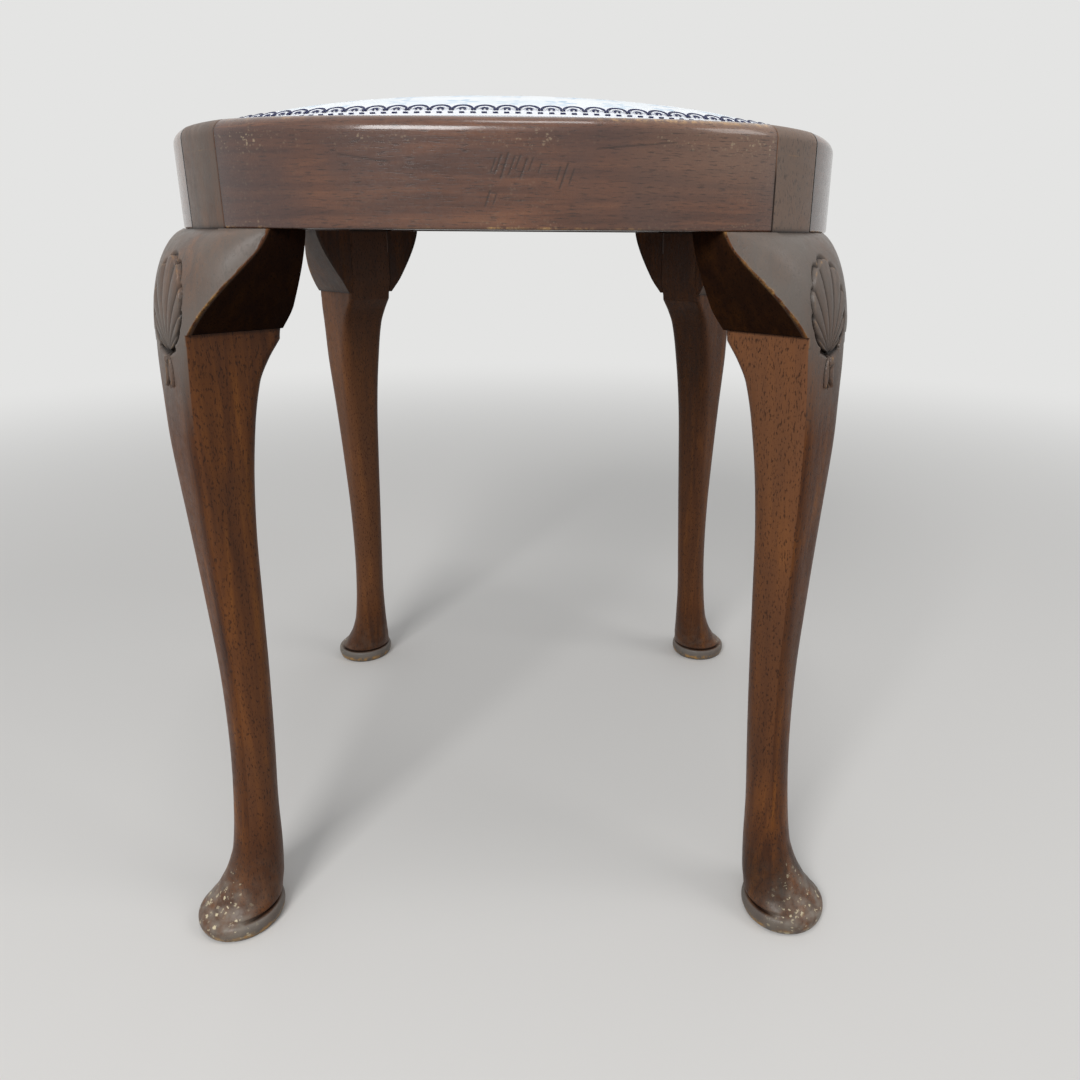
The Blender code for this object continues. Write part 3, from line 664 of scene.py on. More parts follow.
def legRings():
    rows, grime = [], []

    def addRow(x, across, height, dirt=0.0):
        rows.append(np.stack([x, across, np.full_like(x, height)], axis=-1))
        grime.append(np.full_like(x, dirt))

    lowHeights = np.concatenate(
        [
            np.linspace(0, leg["padHeight"], 78, endpoint=False),
            np.linspace(leg["padHeight"], leg["shinTop"], 112, endpoint=False),
            np.linspace(leg["shinTop"], kneeBottom, 74),
        ]
    )
    stations = hermite(legStations(), lowHeights)
    for height, values in zip(lowHeights, stations):
        addRow(*softSquare(*values), height)
    kneeInner = rows[-1][:, 0].min()
    for turn in np.linspace(math.pi / 2, 0, 151)[1:]:
        drop = leg["kneeDrop"] * (1 - math.cos(turn))
        share = min(1.0, (leg["kneeDrop"] - drop) / 0.018)
        inner = kneeInner + (postInner - kneeInner) * smooth(share)
        x, across = facedSquare(lambda y: kneeFace(y, drop), inner)
        # a dark line along the joint under the rail, also on the post below
        addRow(x, across, plan["railBottom"] - drop, math.exp(-drop / 0.0008))
    ledge = plan["railTop"] - leg["ledgeDepth"]
    for height in np.linspace(plan["railBottom"] + plan["gap"], ledge, 44):
        x, across = facedSquare(lambda y: cornerFace(y, plan["halfWidth"]), postInner)
        addRow(x, across, height, math.exp(-(height - plan["railBottom"]) / 0.0009))
    arcs = np.linspace(0, math.pi / 2, 15)
    tops = [(0.0, ledge)] + [
        (leg["rounding"] * (1 - math.cos(a)), plan["railTop"] - leg["rounding"] * (1 - math.sin(a))) for a in arcs
    ]
    for inset, height in tops:
        x, across = facedSquare(lambda y: cornerFace(y, plan["halfWidth"] - inset), postInner)
        addRow(np.maximum(x, cornerFace(across, plan["halfWidth"] - leg["lipWidth"])), across, height)
    return np.array(rows), np.array(grime)


def gridNormals(points):
    upward = np.gradient(points, axis=0)
    wide = np.concatenate([points[:, -1:], points, points[:, :1]], axis=1)
    around = np.gradient(wide, axis=1)[:, 1:-1]
    normals = np.cross(around, upward)
    return normals / (np.linalg.norm(normals, axis=-1, keepdims=True) + 1e-12)


def shellRelief(across, height):  # a fan of rounded flutes from the hinge, a groove round it and a husk below
    up = height - shell["hinge"]
    reach = np.hypot(across, up)
    turn = np.arctan2(across, up)
    flute = turn / shell["spread"] * shell["flutes"] / 2
    lobe = flute - np.round(flute)  # -0.5 to 0.5 across each flute
    roundness = np.sqrt(np.maximum(0.0, 1 - (2 * lobe) ** 2))
    half, wide = shell["height"] / 2, shell["halfWidth"]
    c, s = np.cos(turn), np.sin(turn)
    rim = 2 * np.maximum(c, 0) / half / (s * s / wide**2 + c * c / half**2)  # an oval that stands on the hinge
    rim = rim * (0.91 + 0.09 * roundness) + 1e-5
    inside = rising(rim - reach, shell["rimFade"]) * (np.abs(turn) < shell["spread"])
    swell = np.clip(reach / shell["height"], 0.06, 1) ** 0.7
    ridge = 0.35 * bell(np.abs(lobe) - 0.25, 0.05)  # a fine line down each side of a flute
    relief = shell["relief"] * inside * swell * (0.25 + roundness**1.4 + 0.25 * ridge)
    relief -= shell["bed"] * inside
    away = np.abs(reach - rim) * np.where(np.abs(turn) < shell["spread"], 1, 0)
    sideLine = reach * np.sin(np.clip(np.abs(turn) - shell["spread"], 0, math.pi / 2))
    away = np.where(np.abs(turn) < shell["spread"], away, np.where(up > -0.002, sideLine, 1.0))
    away = np.where((np.abs(turn) >= shell["spread"]) & (reach > 0.010), 1.0, away)
    deep = 1 + 0.9 * rising(np.abs(turn) - 0.55, 0.35)  # the sides are cut deeper than the top
    outerCut = bell(away - 0.0004, shell["grooveWidth"] * deep)
    relief -= shell["groove"] * deep * outerCut * (1 - 0.7 * inside)
    for lean in (-shell["huskLean"], shell["huskLean"]):  # two leaves of the husk with a deep slit between them
        along = -(up + 0.001) * math.cos(lean) + across * math.sin(lean)
        side = across * math.cos(lean) + (up + 0.001) * math.sin(lean)
        place = rising(along, shell["huskLength"])
        width = shell["huskHalf"] * np.sin(math.pi * place**0.8) ** 0.75 + 1e-6
        leaf = np.sqrt(np.maximum(0.0, 1 - (side / width) ** 2)) * (along > 0) * (along < shell["huskLength"])
        cut = bell(np.abs(side) - width, 0.0007) * (place > 0.02) * (place < 0.98)
        relief += shell["huskRise"] * leaf - shell["huskCut"] * cut * (leaf < 0.4)
    slit = bell(across, shell["slitHalf"]) * rising(-(up + 0.005), 0.003)
    relief -= shell["slitDepth"] * slit * rising(up + shell["huskLength"] + 0.0015, 0.001)
    knot = bell(reach, shell["knotRadius"])
    # painted shade: a dark line between the flutes
    line = inside * bell(np.abs(lobe) - 0.5, 0.09) * rising(reach, 0.012)
    below = np.clip((np.abs(turn) - 0.25) / 0.35, 0.3, 1.0)  # painted shade: the top of the outer groove is less dark than its sides and bottom
    return relief - shell["knotDepth"] * knot, line, below


def carveLeg(rings):
    normals = gridNormals(rings)
    carved = rings.copy()
    across, height = rings[..., 1], rings[..., 2]
    onShell = (height > shell["hinge"] - shell["carvedBelow"]) & (height < shell["hinge"] + shell["carvedAbove"])
    onFace = facesOut[None, :] & onShell
    edgeFade = rising(plan["postHalf"] - 0.0002 - np.abs(across), 0.0008)
    relief, line, below = shellRelief(across, height)
    relief = np.where(onFace, relief * edgeFade, 0.0)
    # dirt and painted shade in the carving's deep cuts and between the flutes
    shellDirtAndShade = rising(-relief, shell["darkFrom"]) * 0.9 * below
    shellDirtAndShade = np.where(onFace, np.maximum(shellDirtAndShade, 0.6 * line), 0.0)
    carved += normals * relief[..., None]
    padMiddle = cornerMiddle + leg["padOffset"]
    turn = np.arctan2(across, rings[..., 0] - padMiddle)
    groove = rising(np.abs(turn) - 1.0, 0.5)  # fades out at the toe
    groove = groove * bell(height - leg["grooveHeight"], leg["grooveSpread"])
    carved -= normals * (leg["grooveDepth"] * groove)[..., None]
    toe = np.clip(1.3 * np.cos(turn) + 0.1, 0, 1) * rising(leg["padHeight"] - height, 0.020)
    # the pads' rounded top edge on the inner side, which gets a painted grey reflection
    discReflection = rising(np.abs(turn) - 0.8, 0.4) * rising(leg["grooveHeight"] - 0.0006 - height, 0.0008)
    instep = rising(np.abs(turn) - 0.5, 0.5) * bell(height - 0.028, 0.018)
    return carved, shellDirtAndShade, groove, toe, discReflection, instep


rings, legGrimeAndShade = legRings()
across, heights = rings[..., 1], rings[..., 2]
carved, shellGrimeAndShade, grooveShare, toeShare, discReflectionShare, instepShare = carveLeg(rings)
onCheek = np.abs(across) > plan["postHalf"] - 0.0004
underEar = (heights > leg["earFoot"]) & (heights < plan["railBottom"] - 0.0005)
legGrimeAndShade = np.maximum(legGrimeAndShade, np.where(onCheek & underEar, leg["cheekDirt"], 0.0))
# painted shade in the pad's groove
legGrimeAndShade = np.maximum(legGrimeAndShade, leg["grooveShade"] * grooveShare)
legInner = np.stack([heights.mean(axis=1), rings[:, :, 0].min(axis=1)])
jointEdge = (heights > leg["earFoot"]) & (np.abs(across) > plan["postHalf"] - 0.003)
legKeep = np.where(jointEdge, 0.0, 1.0)  # edges that meet an ear or a rail are neither rubbed nor hollow
# painted reflection: grey bloom and sheen on the knees' outer faces, the posts and the pads' rounded top edge
legHazeAndReflection = np.where(facesOut, leg["haze"] * rising(heights - leg["hazeReflectionFrom"], leg["hazeReflectionRise"]), 0.0)
legHazeAndReflection = np.where(facesOut & (heights > plan["railBottom"]), leg["postHazeAndReflection"], legHazeAndReflection)
legHazeAndReflection = np.maximum(legHazeAndReflection, discReflectionShare)
legRub = leg["soleRub"] * bell(heights - leg["soleEdge"], leg["soleSpread"])
# painted shade along the sole
legGrimeAndShade = np.maximum(legGrimeAndShade, leg["soleShade"] * bell(heights, 0.0008))
postShare = rising(heights - plan["railBottom"], 0.002)
postEdge = (across < 0.0010 - plan["postHalf"]) & (heights > plan["railBottom"])
for place, degrees in corners.items():
    mesh = ringMesh(f"leg_{place}", turned(carved, degrees))
    seamTop = leg["seamTops"].get(place, 0.0)
    seamDirt = np.where(postEdge, leg["seamDirt"] * rising(seamTop - heights, 0.008), 0.0)
    instepDirt = leg["instepDirt"].get(place, 0.1) * instepShare
    # painted light: the cheeks lighter leg by leg, and the front right post paler
    atKnee, atAnkle = leg["faded"][place]
    climb = rising(heights - leg["ankleHeight"], leg["fadeRise"])
    cheekLight = (atAnkle + (atKnee - atAnkle) * climb) * rising(heights - leg["fadeFrom"], 0.04)
    litPost = leg["litPost"].get(place, 0.0) * facesOut * postShare
    storeMarks(
        mesh,
        legKeep,
        grime=np.maximum.reduce([legGrimeAndShade, shellGrimeAndShade, seamDirt, instepDirt]),
        rub=legRub,
        faded=np.where(facesOut, 2 * litPost, cheekLight),
        pale=litPost,
        haze=legHazeAndReflection * (1 - litPost),
        toe=leg["toeNicks"] * toeShare,
    )
    addPiece(f"carved_leg_{place}", mesh, wornWalnut, "stool_frame", "worn_walnut", f"leg_{place}")
print("legs carved:", len(mesh.polygons), "faces each")


# Ears: brackets on the cheeks of the legs, cut to a curve below

ear = {
    "drop": 0.049,
    "foot": 0.0015,
    "controls": ((1.0, 0.0), (0.91, 0.245), (0.58, 0.55), (0.0, 1.0)),
    "softEdge": 0.0007,
    "cover": 0.00003,  # stands this much proud of the leg, to hide the joint
    "inset": 0.0009,  # starts inside the leg's softened corner, so no gap shows
    "levels": 110,
    # painted shade on the undersides of the ears by the front and back rails, painted light on those by the side rails
    "dirt": {"ear_front_left_by_front": 0.84, "ear_front_right_by_front": 0.74},
    "otherUndersideShade": 0.8,
    "undersideLight": 0.45,
    "rubs": {  # drop of the most rubbed place, share elsewhere
        "front_left": (0.0355, 0.05),
        "front_right": (0.030, 0.35),
    },
    "otherRub": (0.034, 0.12),
    "rubSpread": 0.0085,
}


def earCurve(share):
    foot = plan["postHalf"] + ear["foot"]
    reach = leg["earSpan"] - foot
    weights = ((1 - share) ** 3, 3 * (1 - share) ** 2 * share, 3 * (1 - share) * share**2, share**3)
    across = sum(w * (foot + c[0] * reach) for w, c in zip(weights, ear["controls"]))
    drop = sum(w * c[1] for w, c in zip(weights, ear["controls"])) * ear["drop"]
    return across, drop


def earRings(seed, rubAt, rubAll, dirt):
    start = plan["postHalf"] - ear["inset"]
    rows, rub, grime, keep, haze, unders = [], [], [], [], [], []
    for level in [*range(ear["levels"] + 1), ear["levels"]]:  # the top ring twice, the last one close to the rail
        share = 1 - level / ear["levels"]
        across, drop = earCurve(share)
        chip = waver(drop, 0.0022, seed) * waver(drop, 0.011, seed + 1)
        soft = min(ear["softEdge"] * (0.7 + 1.3 * chip), (across - start) / 3)
        fall = drop + plan["gap"]  # flush with the knee beside it
        edgeOut = float(kneeFace(across, fall))
        front = start + (across - soft - start) * np.linspace(0, 1, 44) ** 0.85
        points = [(float(kneeFace(y, fall)) + ear["cover"], y) for y in front]
        base = float(kneeFace(across - soft, fall)) + ear["cover"]
        height = plan["railBottom"] - (ear["cover"] if len(rows) > ear["levels"] else plan["gap"] + drop)
        back = float(np.interp(height, *legInner))
        for turn in np.linspace(0, math.pi / 2, 9)[1:]:
            points.append((base - soft * (1 - math.cos(turn)), across - soft + soft * math.sin(turn)))
        points += [(x, across) for x in np.linspace(base - soft, back, 26)[1:]]
        points += [(back, y) for y in np.linspace(across, start, 8)[1:]]
        points += [(x, start) for x in np.linspace(back, points[0][0], 8)[1:-1]]
        points = np.array(points)
        rows.append(np.column_stack([points, np.full(len(points), height)]))
        toEdge = np.hypot(points[:, 0] - edgeOut, points[:, 1] - across)
        window = rubAll + (1 - rubAll) * math.exp(-(((drop - rubAt) / ear["rubSpread"]) ** 2))
        rub.append(window * bell(toEdge, 0.0008 + 0.0016 * chip))
        under = (points[:, 1] > across - 1e-5) & (points[:, 0] < base - soft - 0.0003)
        # painted shade on the undersides, darkest at the ear's lower end
        foot = math.exp(-((ear["drop"] - drop) / 0.0009))
        grime.append(np.where(under, max(dirt, 0.97 * foot), 0.0))
        unders.append(under)
        # painted reflection on the front face as on the knee, painted light on the clean undersides
        pale = np.where(under & (dirt < 0.5), ear["undersideLight"], 0.0)
        haze.append(np.where(np.arange(len(points)) < len(front), leg["haze"], pale))
        keep.append(rising(points[:, 1] - start - 0.0008, 0.001) * (0.2 + 0.6 * window))
    return [np.array(part) for part in (rows, rub, grime, keep, haze, unders)]


for number, (place, degrees) in enumerate(corners.items()):
    for step, sign in enumerate((-1, 1)):
        side = sideOrder[(number + step) % 4]
        node = f"ear_{place}_by_{side}"
        rubAt, rubAll = ear["rubs"].get(place, ear["otherRub"])
        dirt = ear["dirt"].get(node, ear["otherUndersideShade"] if side in ("front", "back") else 0.0)
        rings, rub, grime, keep, haze, under = earRings(40 + 2 * number + step, rubAt, rubAll, dirt)
        rings[..., 1] *= sign
        mesh = ringMesh(node, turned(rings, degrees))
        storeMarks(mesh, keep, rub=rub, grime=grime, haze=haze)
        piece = addPiece(f"cut_{node}", mesh, wornWalnut, "stool_frame", "worn_walnut", node)
        # the shaded undersides take the unglossed copy, so that their painted shade stays dark
        piece.data.materials.append(unglossedShadeWalnut)
        dull = under.ravel()
        for face in piece.data.polygons:
            face.material_index = int(dirt > 0.5 and dull[list(face.vertices)].all())
print("ears made")


# Rails: bowed, with a rounded top edge and a ledge for the seat

rail = {
    "thickness": 0.028,
    "easing": 0.0010,
    "measuredAt": 0.43,  # height at which distances along the rail are taken
    "hazeReflectionFrom": 0.418,
    "hazeReflectionRise": 0.02,
    "sag": 0.0016,  # the top edge is a little lower in the middle, as the photo shows it
    "steps": 240,
    "fineSteps": 200,  # more of them over the strokes on the front
    "endDirt": {"front": 0.45, "back": 0.45, "left": 0.95, "right": 0.95},
    "endSpread": 0.0009,
    "scuffDirt": 0.7,
    "topWear": ((0.10, 0.055, 0.9), (-0.067, 0.022, 0.5)),  # along, spread, share
    "nickBands": ((0.4455, 0.0045, 0.8), (0.4090, 0.0020, 0.45)),  # height, spread, share
    "scuffs": (  # along, height, along, height, half width, depth: old strokes across the front
        (0.0010, 0.4372, -0.0012, 0.4318, 0.00035, 0.00006),
        (0.0036, 0.4385, 0.0006, 0.4312, 0.00040, 0.00010),
        (0.0066, 0.4392, 0.0030, 0.4290, 0.00045, 0.00011),
        (0.0094, 0.4378, 0.0066, 0.4306, 0.00035, 0.00007),
        (0.0121, 0.4386, 0.0096, 0.4330, 0.00035, 0.00006),
        (0.0148, 0.4370, 0.0118, 0.4294, 0.00040, 0.00010),
        (0.0176, 0.4374, 0.0156, 0.4324, 0.00030, 0.00006),
        (0.0212, 0.4352, 0.0198, 0.4316, 0.00030, 0.00006),
        (0.0296, 0.4338, 0.0278, 0.4284, 0.00035, 0.00007),
        (0.0330, 0.4352, 0.0292, 0.4250, 0.00045, 0.00011),
        (0.0357, 0.4330, 0.0334, 0.4268, 0.00035, 0.00007),
        (-0.0018, 0.4236, -0.0042, 0.4172, 0.00040, 0.00008),
        (0.0010, 0.4222, -0.0006, 0.4180, 0.00030, 0.00006),
        (-0.0700, 0.4388, -0.0455, 0.4350, 0.00030, 0.00005),
        (0.0455, 0.4415, 0.0830, 0.4450, 0.00030, 0.00005),
    ),
}


def railProfile():  # inset from the outer face and height, round the section
    top, bottom, soft = plan["railTop"], plan["railBottom"], rail["easing"]
    ledge = top - leg["ledgeDepth"]
    lip, back, curve = leg["lipWidth"], rail["thickness"], leg["rounding"]
    quarter = np.linspace(0, math.pi / 2, 6)
    points = [(x, bottom) for x in np.linspace(back, soft, 14, endpoint=False)]
    points += [(soft * (1 - math.sin(a)), bottom + soft * (1 - math.cos(a))) for a in quarter]
    points += [(0.0, z) for z in np.linspace(bottom + soft, top - curve, 84)[1:]]
    points += [
        (curve * (1 - math.cos(a)), top - curve * (1 - math.sin(a))) for a in np.linspace(0, math.pi / 2, 17)[1:]
    ]
    points += [(x, top) for x in np.linspace(curve, lip - soft, 8)[1:]]
    points += [(lip - soft * (1 - math.sin(a)), top - soft * (1 - math.cos(a))) for a in quarter[1:]]
    points += [(lip, z) for z in np.linspace(top - soft, ledge, 10)[1:]]
    points += [(x, ledge) for x in np.linspace(lip, back, 8)[1:]]
    points += [(back, z) for z in np.linspace(ledge, bottom, 18)[1:-1]]
    return np.array(points)


def railGrid(seed, scuffs, endDirt):
    profile = railProfile()
    widths = plan["halfWidth"] - profile[:, 0]
    limits = math.pi / 4 - np.array([cornerAngle(plan["postHalf"] + plan["gap"], w) for w in widths])
    shares = np.linspace(-1, 1, rail["steps"] + 1)
    if scuffs:
        shares = np.union1d(shares, np.linspace(-0.33, 0.33, rail["fineSteps"]))
    angles = shares[:, None] * limits[None, :]
    points = np.empty((len(shares), len(profile), 3))
    points[..., :2] = outline(angles, widths[None, :])
    sinking = rail["sag"] * np.clip((profile[:, 1] - plan["railTop"]) / 0.005 + 2.5, 0, 1)
    points[..., 2] = profile[None, :, 1] - (1 - shares[:, None] ** 2) * sinking[None, :]
    middle = points[:, int(np.argmin(np.abs(profile[:, 1] - rail["measuredAt"]) + profile[:, 0])), :]
    steps = np.linalg.norm(np.diff(middle, axis=0), axis=1)
    along = np.concatenate([[0], np.cumsum(steps)])
    along -= along[-1] / 2
    girth = np.concatenate([[0], np.cumsum(np.linalg.norm(np.diff(profile, axis=0), axis=1))])
    grain = np.zeros_like(points)
    grain[..., 0] = along[:, None] + 0.37 * seed
    grain[..., 1] = girth[None, :] + 0.11 * seed
    front = profile[None, :, 0] < 0.0005
    heights = points[..., 2]
    dent = np.zeros(points.shape[:2])
    dirt = np.zeros(points.shape[:2])
    for a0, z0, a1, z1, half, depth in scuffs:
        run = np.array([a1 - a0, z1 - z0])
        place = rising((along[:, None] - a0) * run[0] + (heights - z0) * run[1], run @ run)
        away = np.hypot(along[:, None] - a0 - place * run[0], heights - z0 - place * run[1])
        mark = bell(away, half) * front
        dent = np.maximum(dent, depth * mark)
        dirt = np.maximum(dirt, rail["scuffDirt"] * mark)
    outward = points[..., :2] / np.linalg.norm(points[..., :2], axis=-1, keepdims=True)
    points[..., :2] -= outward * dent[..., None]
    ends = along[-1] - np.abs(along)
    dirt = np.maximum(dirt, endDirt * bell(ends, rail["endSpread"])[:, None])
    topEdge = (profile[:, 1] > plan["railTop"] - 0.0075) & (profile[:, 0] < 0.0075)
    bottomEdge = profile[:, 1] < plan["railBottom"] + 0.0012
    chips = waver(along, 0.0025, seed) * waver(along, 0.035, seed + 7)
    window = sum((share * bell(along - place, spread) for place, spread, share in rail["topWear"]), 0.35)
    rub = np.zeros_like(dent)
    crest = bell(profile[:, 1] - (plan["railTop"] - 0.0009), 0.0010) * topEdge
    rub += np.clip(2.8 * chips * window - 0.4, 0, 1)[:, None] * crest[None, :]
    low = np.clip(2.4 * waver(along, 0.006, seed + 3) * waver(along, 0.05, seed + 5) - 0.5, 0, 1)
    rub += low[:, None] * (bottomEdge & (profile[:, 0] < 0.0016))[None, :] * 0.8
    # painted reflection on the rails: the upper part greyer and the left end darker purple-grey
    upper = rising(heights - rail["hazeReflectionFrom"], rail["hazeReflectionRise"])
    haze = 0.3 * upper
    haze = np.maximum(haze, 0.65 * rising(-along - 0.07, 0.03)[:, None]) * front
    # painted light: the upper right end of each rail lighter and warmer, with less grey
    faded = 0.6 * rising(along - 0.05, 0.06)[:, None] * upper
    haze = haze * (1 - faded)
    nick = sum(share * bell(heights - height, spread) for height, spread, share in rail["nickBands"])
    nick = np.maximum(nick, 0.12) * waver(along, 0.02, seed + 11)[:, None] ** 2 * (profile[None, :, 0] < 0.004)
    keep = rising(ends - 0.0012, 0.002)[:, None] * np.ones_like(dirt)
    return points, grain, np.clip(rub, 0, 1), dirt, haze, nick, faded, keep


for number, (side, degrees) in enumerate(sides.items()):
    scuffs = rail["scuffs"] if side == "front" else ()
    points, grain, rub, dirt, haze, nick, faded, keep = railGrid(number + 1, scuffs, rail["endDirt"][side])
    mesh = ringMesh(f"rail_{side}", turned(points, degrees))
    storeVectors(mesh, "grain", grain)
    storeMarks(mesh, keep, rub=rub, grime=dirt, haze=haze, toe=nick, faded=faded)
    addPiece(f"bowed_rail_{side}", mesh, polishedWalnut, "stool_frame", "polished_walnut", f"rail_{side}")
print("rails made:", len(mesh.polygons), "faces each")


# Seat pad: stuffing under a tight printed cotton cover

seat = {
    "edge": 0.176,
    "wall": 0.0012,
    "skirt": 0.4437,
    "rim": 0.4550,
    "crown": 0.0242,
    "fullness": 3.2,
    "shoulder": 0.75,
    "base": 0.4588,
    "low": 0.0012,  # how much flatter the pad starts before it swells
    "cap": 0.0030,
    "cornerSink": 0.0009,
    "sinkFrom": 0.4535,  # height at which the sinking starts
    "sinkOver": 0.003,
    "heldTo": 0.93,  # the gimp holds the cover down outside this share
    "easedTo": 0.28,  # inside this share the middle is eased
    "around": 144,
    "frames": 20,
}
seatRise = seat["crown"] - seat["low"]


def makePrintedCotton():
    # Printed cotton: white plain weave with a faint pale blue print of small five-leaved sprigs
    material, tree, shader = startMaterial(
        "printed_cotton", Roughness=0.85, Specular_IOR_Level=0.25, Sheen_Weight=0.15, Sheen_Roughness=0.4
    )
    spot = addNode(tree, "ShaderNodeTexCoord").outputs["Object"]
    flat = addNode(tree, "ShaderNodeMapping", {}, {"Vector": spot, "Scale": (1.0, 1.0, 0.0)})
    # sprigs about 26 mm apart, each a ring of five leaves round a pale eye
    cells = addNode(
        tree,
        "ShaderNodeTexVoronoi",
        {"feature": "F1", "voronoi_dimensions": "2D"},
        {"Vector": flat, "Scale": 1 / 0.026, "Randomness": 0.35},
    )
    centred = addNode(
        tree, "ShaderNodeVectorMath", {"operation": "SUBTRACT"}, {0: flat, 1: cells.outputs["Position"]}
    )
    parts = addNode(tree, "ShaderNodeSeparateXYZ", {}, {"Vector": centred}).outputs
    wash = addNode(tree, *noise, {"Vector": spot, "Scale": 1 / 0.012, "Detail": 3.0, "Roughness": 0.6})
    cloud = addNode(tree, *noise, {"Vector": spot, "Scale": 1 / 0.03, "Detail": 2.0})
    found = {"x": parts["X"], "y": parts["Y"], "away": cells.outputs["Distance"], "wash": wash.outputs["Fac"]}
    steps = (
        ("turn", angleOf, "y", "x"),
        ("fiveTurns", multiply, "turn", 5.0),
        ("petals", cosine, "fiveTurns"),
        ("reach", multiplyAdd, "petals", 0.10, 0.25),
        ("leaf", subtract, "reach", "away"),
        ("leafShare", toRange, "leaf", -0.01, 0.05, 0.0, 1.0),
        ("eye", toRange, "away", 0.06, 0.10, 0.0, 1.0),
        ("sprig", multiply, "leafShare", "eye"),
        ("washShare", toRange, "wash", 0.35, 0.65, 0.25, 0.95),
        ("printed", multiply, "sprig", "washShare"),
    )
    addSteps(tree, found, steps)
    ground = addNode(tree, *colourRamp, {"Fac": cloud.outputs["Fac"]}, [(0.42, "#f3f6f8"), (0.66, "#e6eef4")])
    coloured = addNode(tree, *mixColour, {0: found["printed"], 6: ground.outputs["Color"], 7: linear("#b9d0e4")})
    # threads drawn 0.9 mm apart, about twice the real pitch, so that they show
    waves = {"Vector": spot, "Scale": 2 * math.pi / (20 * 0.0009), "Distortion": 0.4}
    warp, weft = (addNode(tree, "ShaderNodeTexWave", {"bands_direction": way}, waves) for way in "XY")
    weave = addNode(tree, *multiply, {0: warp.outputs["Fac"], 1: weft.outputs["Fac"]})
    bump = addNode(tree, "ShaderNodeBump", {}, {"Height": weave, "Strength": 0.4, "Distance": 0.0002})
    feed(tree, shader, {"Base Color": coloured.outputs[2], "Normal": bump})
    return material


def seatRing(halfWidth, height, count):
    angles = np.linspace(0, 2 * math.pi, count, endpoint=False)
    ring = np.empty((count, 3))
    ring[:, :2] = outline(angles, halfWidth)
    sink = seat["cornerSink"] * np.sin(2 * angles) ** 2  # the edge is pulled down more at the corners
    ring[:, 2] = height - sink * min(1.0, max(0.0, (height - seat["sinkFrom"]) / seat["sinkOver"]))
    return ring


def domeHeight(share):
    return seat["rim"] + seatRise * np.maximum(0.0, 1 - share ** seat["fullness"]) ** seat["shoulder"]


def padRings(count):
    edge, wall, base = seat["edge"], seat["wall"], seat["base"]
    skirt, rim = seat["skirt"], seat["rim"]
    under = [(edge * share, base) for share in (0.05, 0.3, 0.55, 0.75, 0.88, 0.95)]
    under += [(edge - 2 * wall, base - 0.0022), (edge - wall, base - 0.005), (edge - wall, skirt + 0.002)]
    outside = [(edge - wall, skirt), (edge - wall / 2, skirt - 0.0001), (edge - 0.0002, skirt + 0.0003)]
    outside += [(edge, skirt + 0.0012), (edge - 0.0005, (skirt + rim) / 2), (edge, rim - 0.002)]
    shares = np.concatenate([[1.0, 0.9985, 0.996, 0.992, 0.986, 0.978, 0.967], np.linspace(0.955, 0.05, 34)])
    dome = [(edge * share, domeHeight(share)) for share in shares]
    heldRows = len(under) + len(outside) + int(np.sum(shares >= seat["heldTo"]))
    return np.array([seatRing(w, z, count) for w, z in under + outside + dome]), heldRows


swelling = {
    "quality": 6,
    "mass": 0.25,
    "tension_stiffness": 25,
    "compression_stiffness": 25,
    "shear_stiffness": 10,
    "bending_stiffness": 1.5,
    "air_damping": 5,
    "vertex_group_mass": "held",
    "use_pressure": True,
    "uniform_pressure_force": 4,
}


def swell(mesh, pinned):  # cloth with a little air pressure, held at its rim, then applied
    holder = bpy.data.objects.new("swelling_pad", mesh)
    scene.collection.objects.link(holder)
    group = holder.vertex_groups.new(name="held")
    group.add(pinned, 1.0, "REPLACE")
    start = np.empty(len(mesh.vertices) * 3)
    mesh.vertices.foreach_get("co", start)
    cloth = holder.modifiers.new("cloth", "CLOTH")
    settings = cloth.settings
    for name, value in swelling.items():
        setattr(settings, name, value)
    settings.effector_weights.gravity = 0
    cloth.collision_settings.use_self_collision = False
    cloth.point_cache.frame_start = 1
    cloth.point_cache.frame_end = seat["frames"]
    for number in range(1, seat["frames"] + 1):
        scene.frame_set(number)
    graph = bpy.context.evaluated_depsgraph_get()
    ended = np.empty_like(start)
    holder.evaluated_get(graph).data.vertices.foreach_get("co", ended)
    bpy.data.objects.remove(holder)
    scene.frame_set(1)
    move = (ended - start).reshape(-1, 3)
    length = np.linalg.norm(move, axis=1, keepdims=True)
    move *= np.minimum(1.0, seat["cap"] / np.maximum(length, 1e-9))
    mesh.vertices.foreach_set("co", (start.reshape(-1, 3) + move).ravel())
    return float(length.max())


def easeMiddle(mesh, rows, heldRows):  # the fan in the middle puckers the cloth, so it follows the dome around it
    points = np.empty(rows.size)
    mesh.vertices.foreach_get("co", points)
    points = points.reshape(rows.shape)
    share = np.linalg.norm(rows[..., :2], axis=-1) / seat["edge"]
    onTop = np.arange(len(rows))[:, None] >= heldRows
    around = onTop & (share > seat["easedTo"]) & (share < 0.5)
    dome = np.polyfit(share[around] ** 2, points[around][:, 2], 1)
    blend = rising(seat["easedTo"] - share, 0.12) * onTop
    points[..., 2] += blend * (np.polyval(dome, share**2) - points[..., 2])
    points[..., :2] += blend[..., None] * (rows[..., :2] - points[..., :2])
    mesh.vertices.foreach_set("co", points.ravel())


printedCotton = makePrintedCotton()
count = seat["around"]
rows, heldRows = padRings(count)
mesh = ringMesh("seat_pad", rows)
held = list(range(heldRows * count))
print("seat pad swelled by up to", round(1000 * swell(mesh, held), 2), "mm before the cap")
easeMiddle(mesh, rows, heldRows)
seatPad = addPiece("seat_pad", mesh, printedCotton, "drop_in_seat", "printed_cotton", "seat_cover", "seat_stuffing")
smoother = seatPad.modifiers.new("smoother", "SUBSURF")
smoother.levels = smoother.render_levels = 1
print("seat pad made")


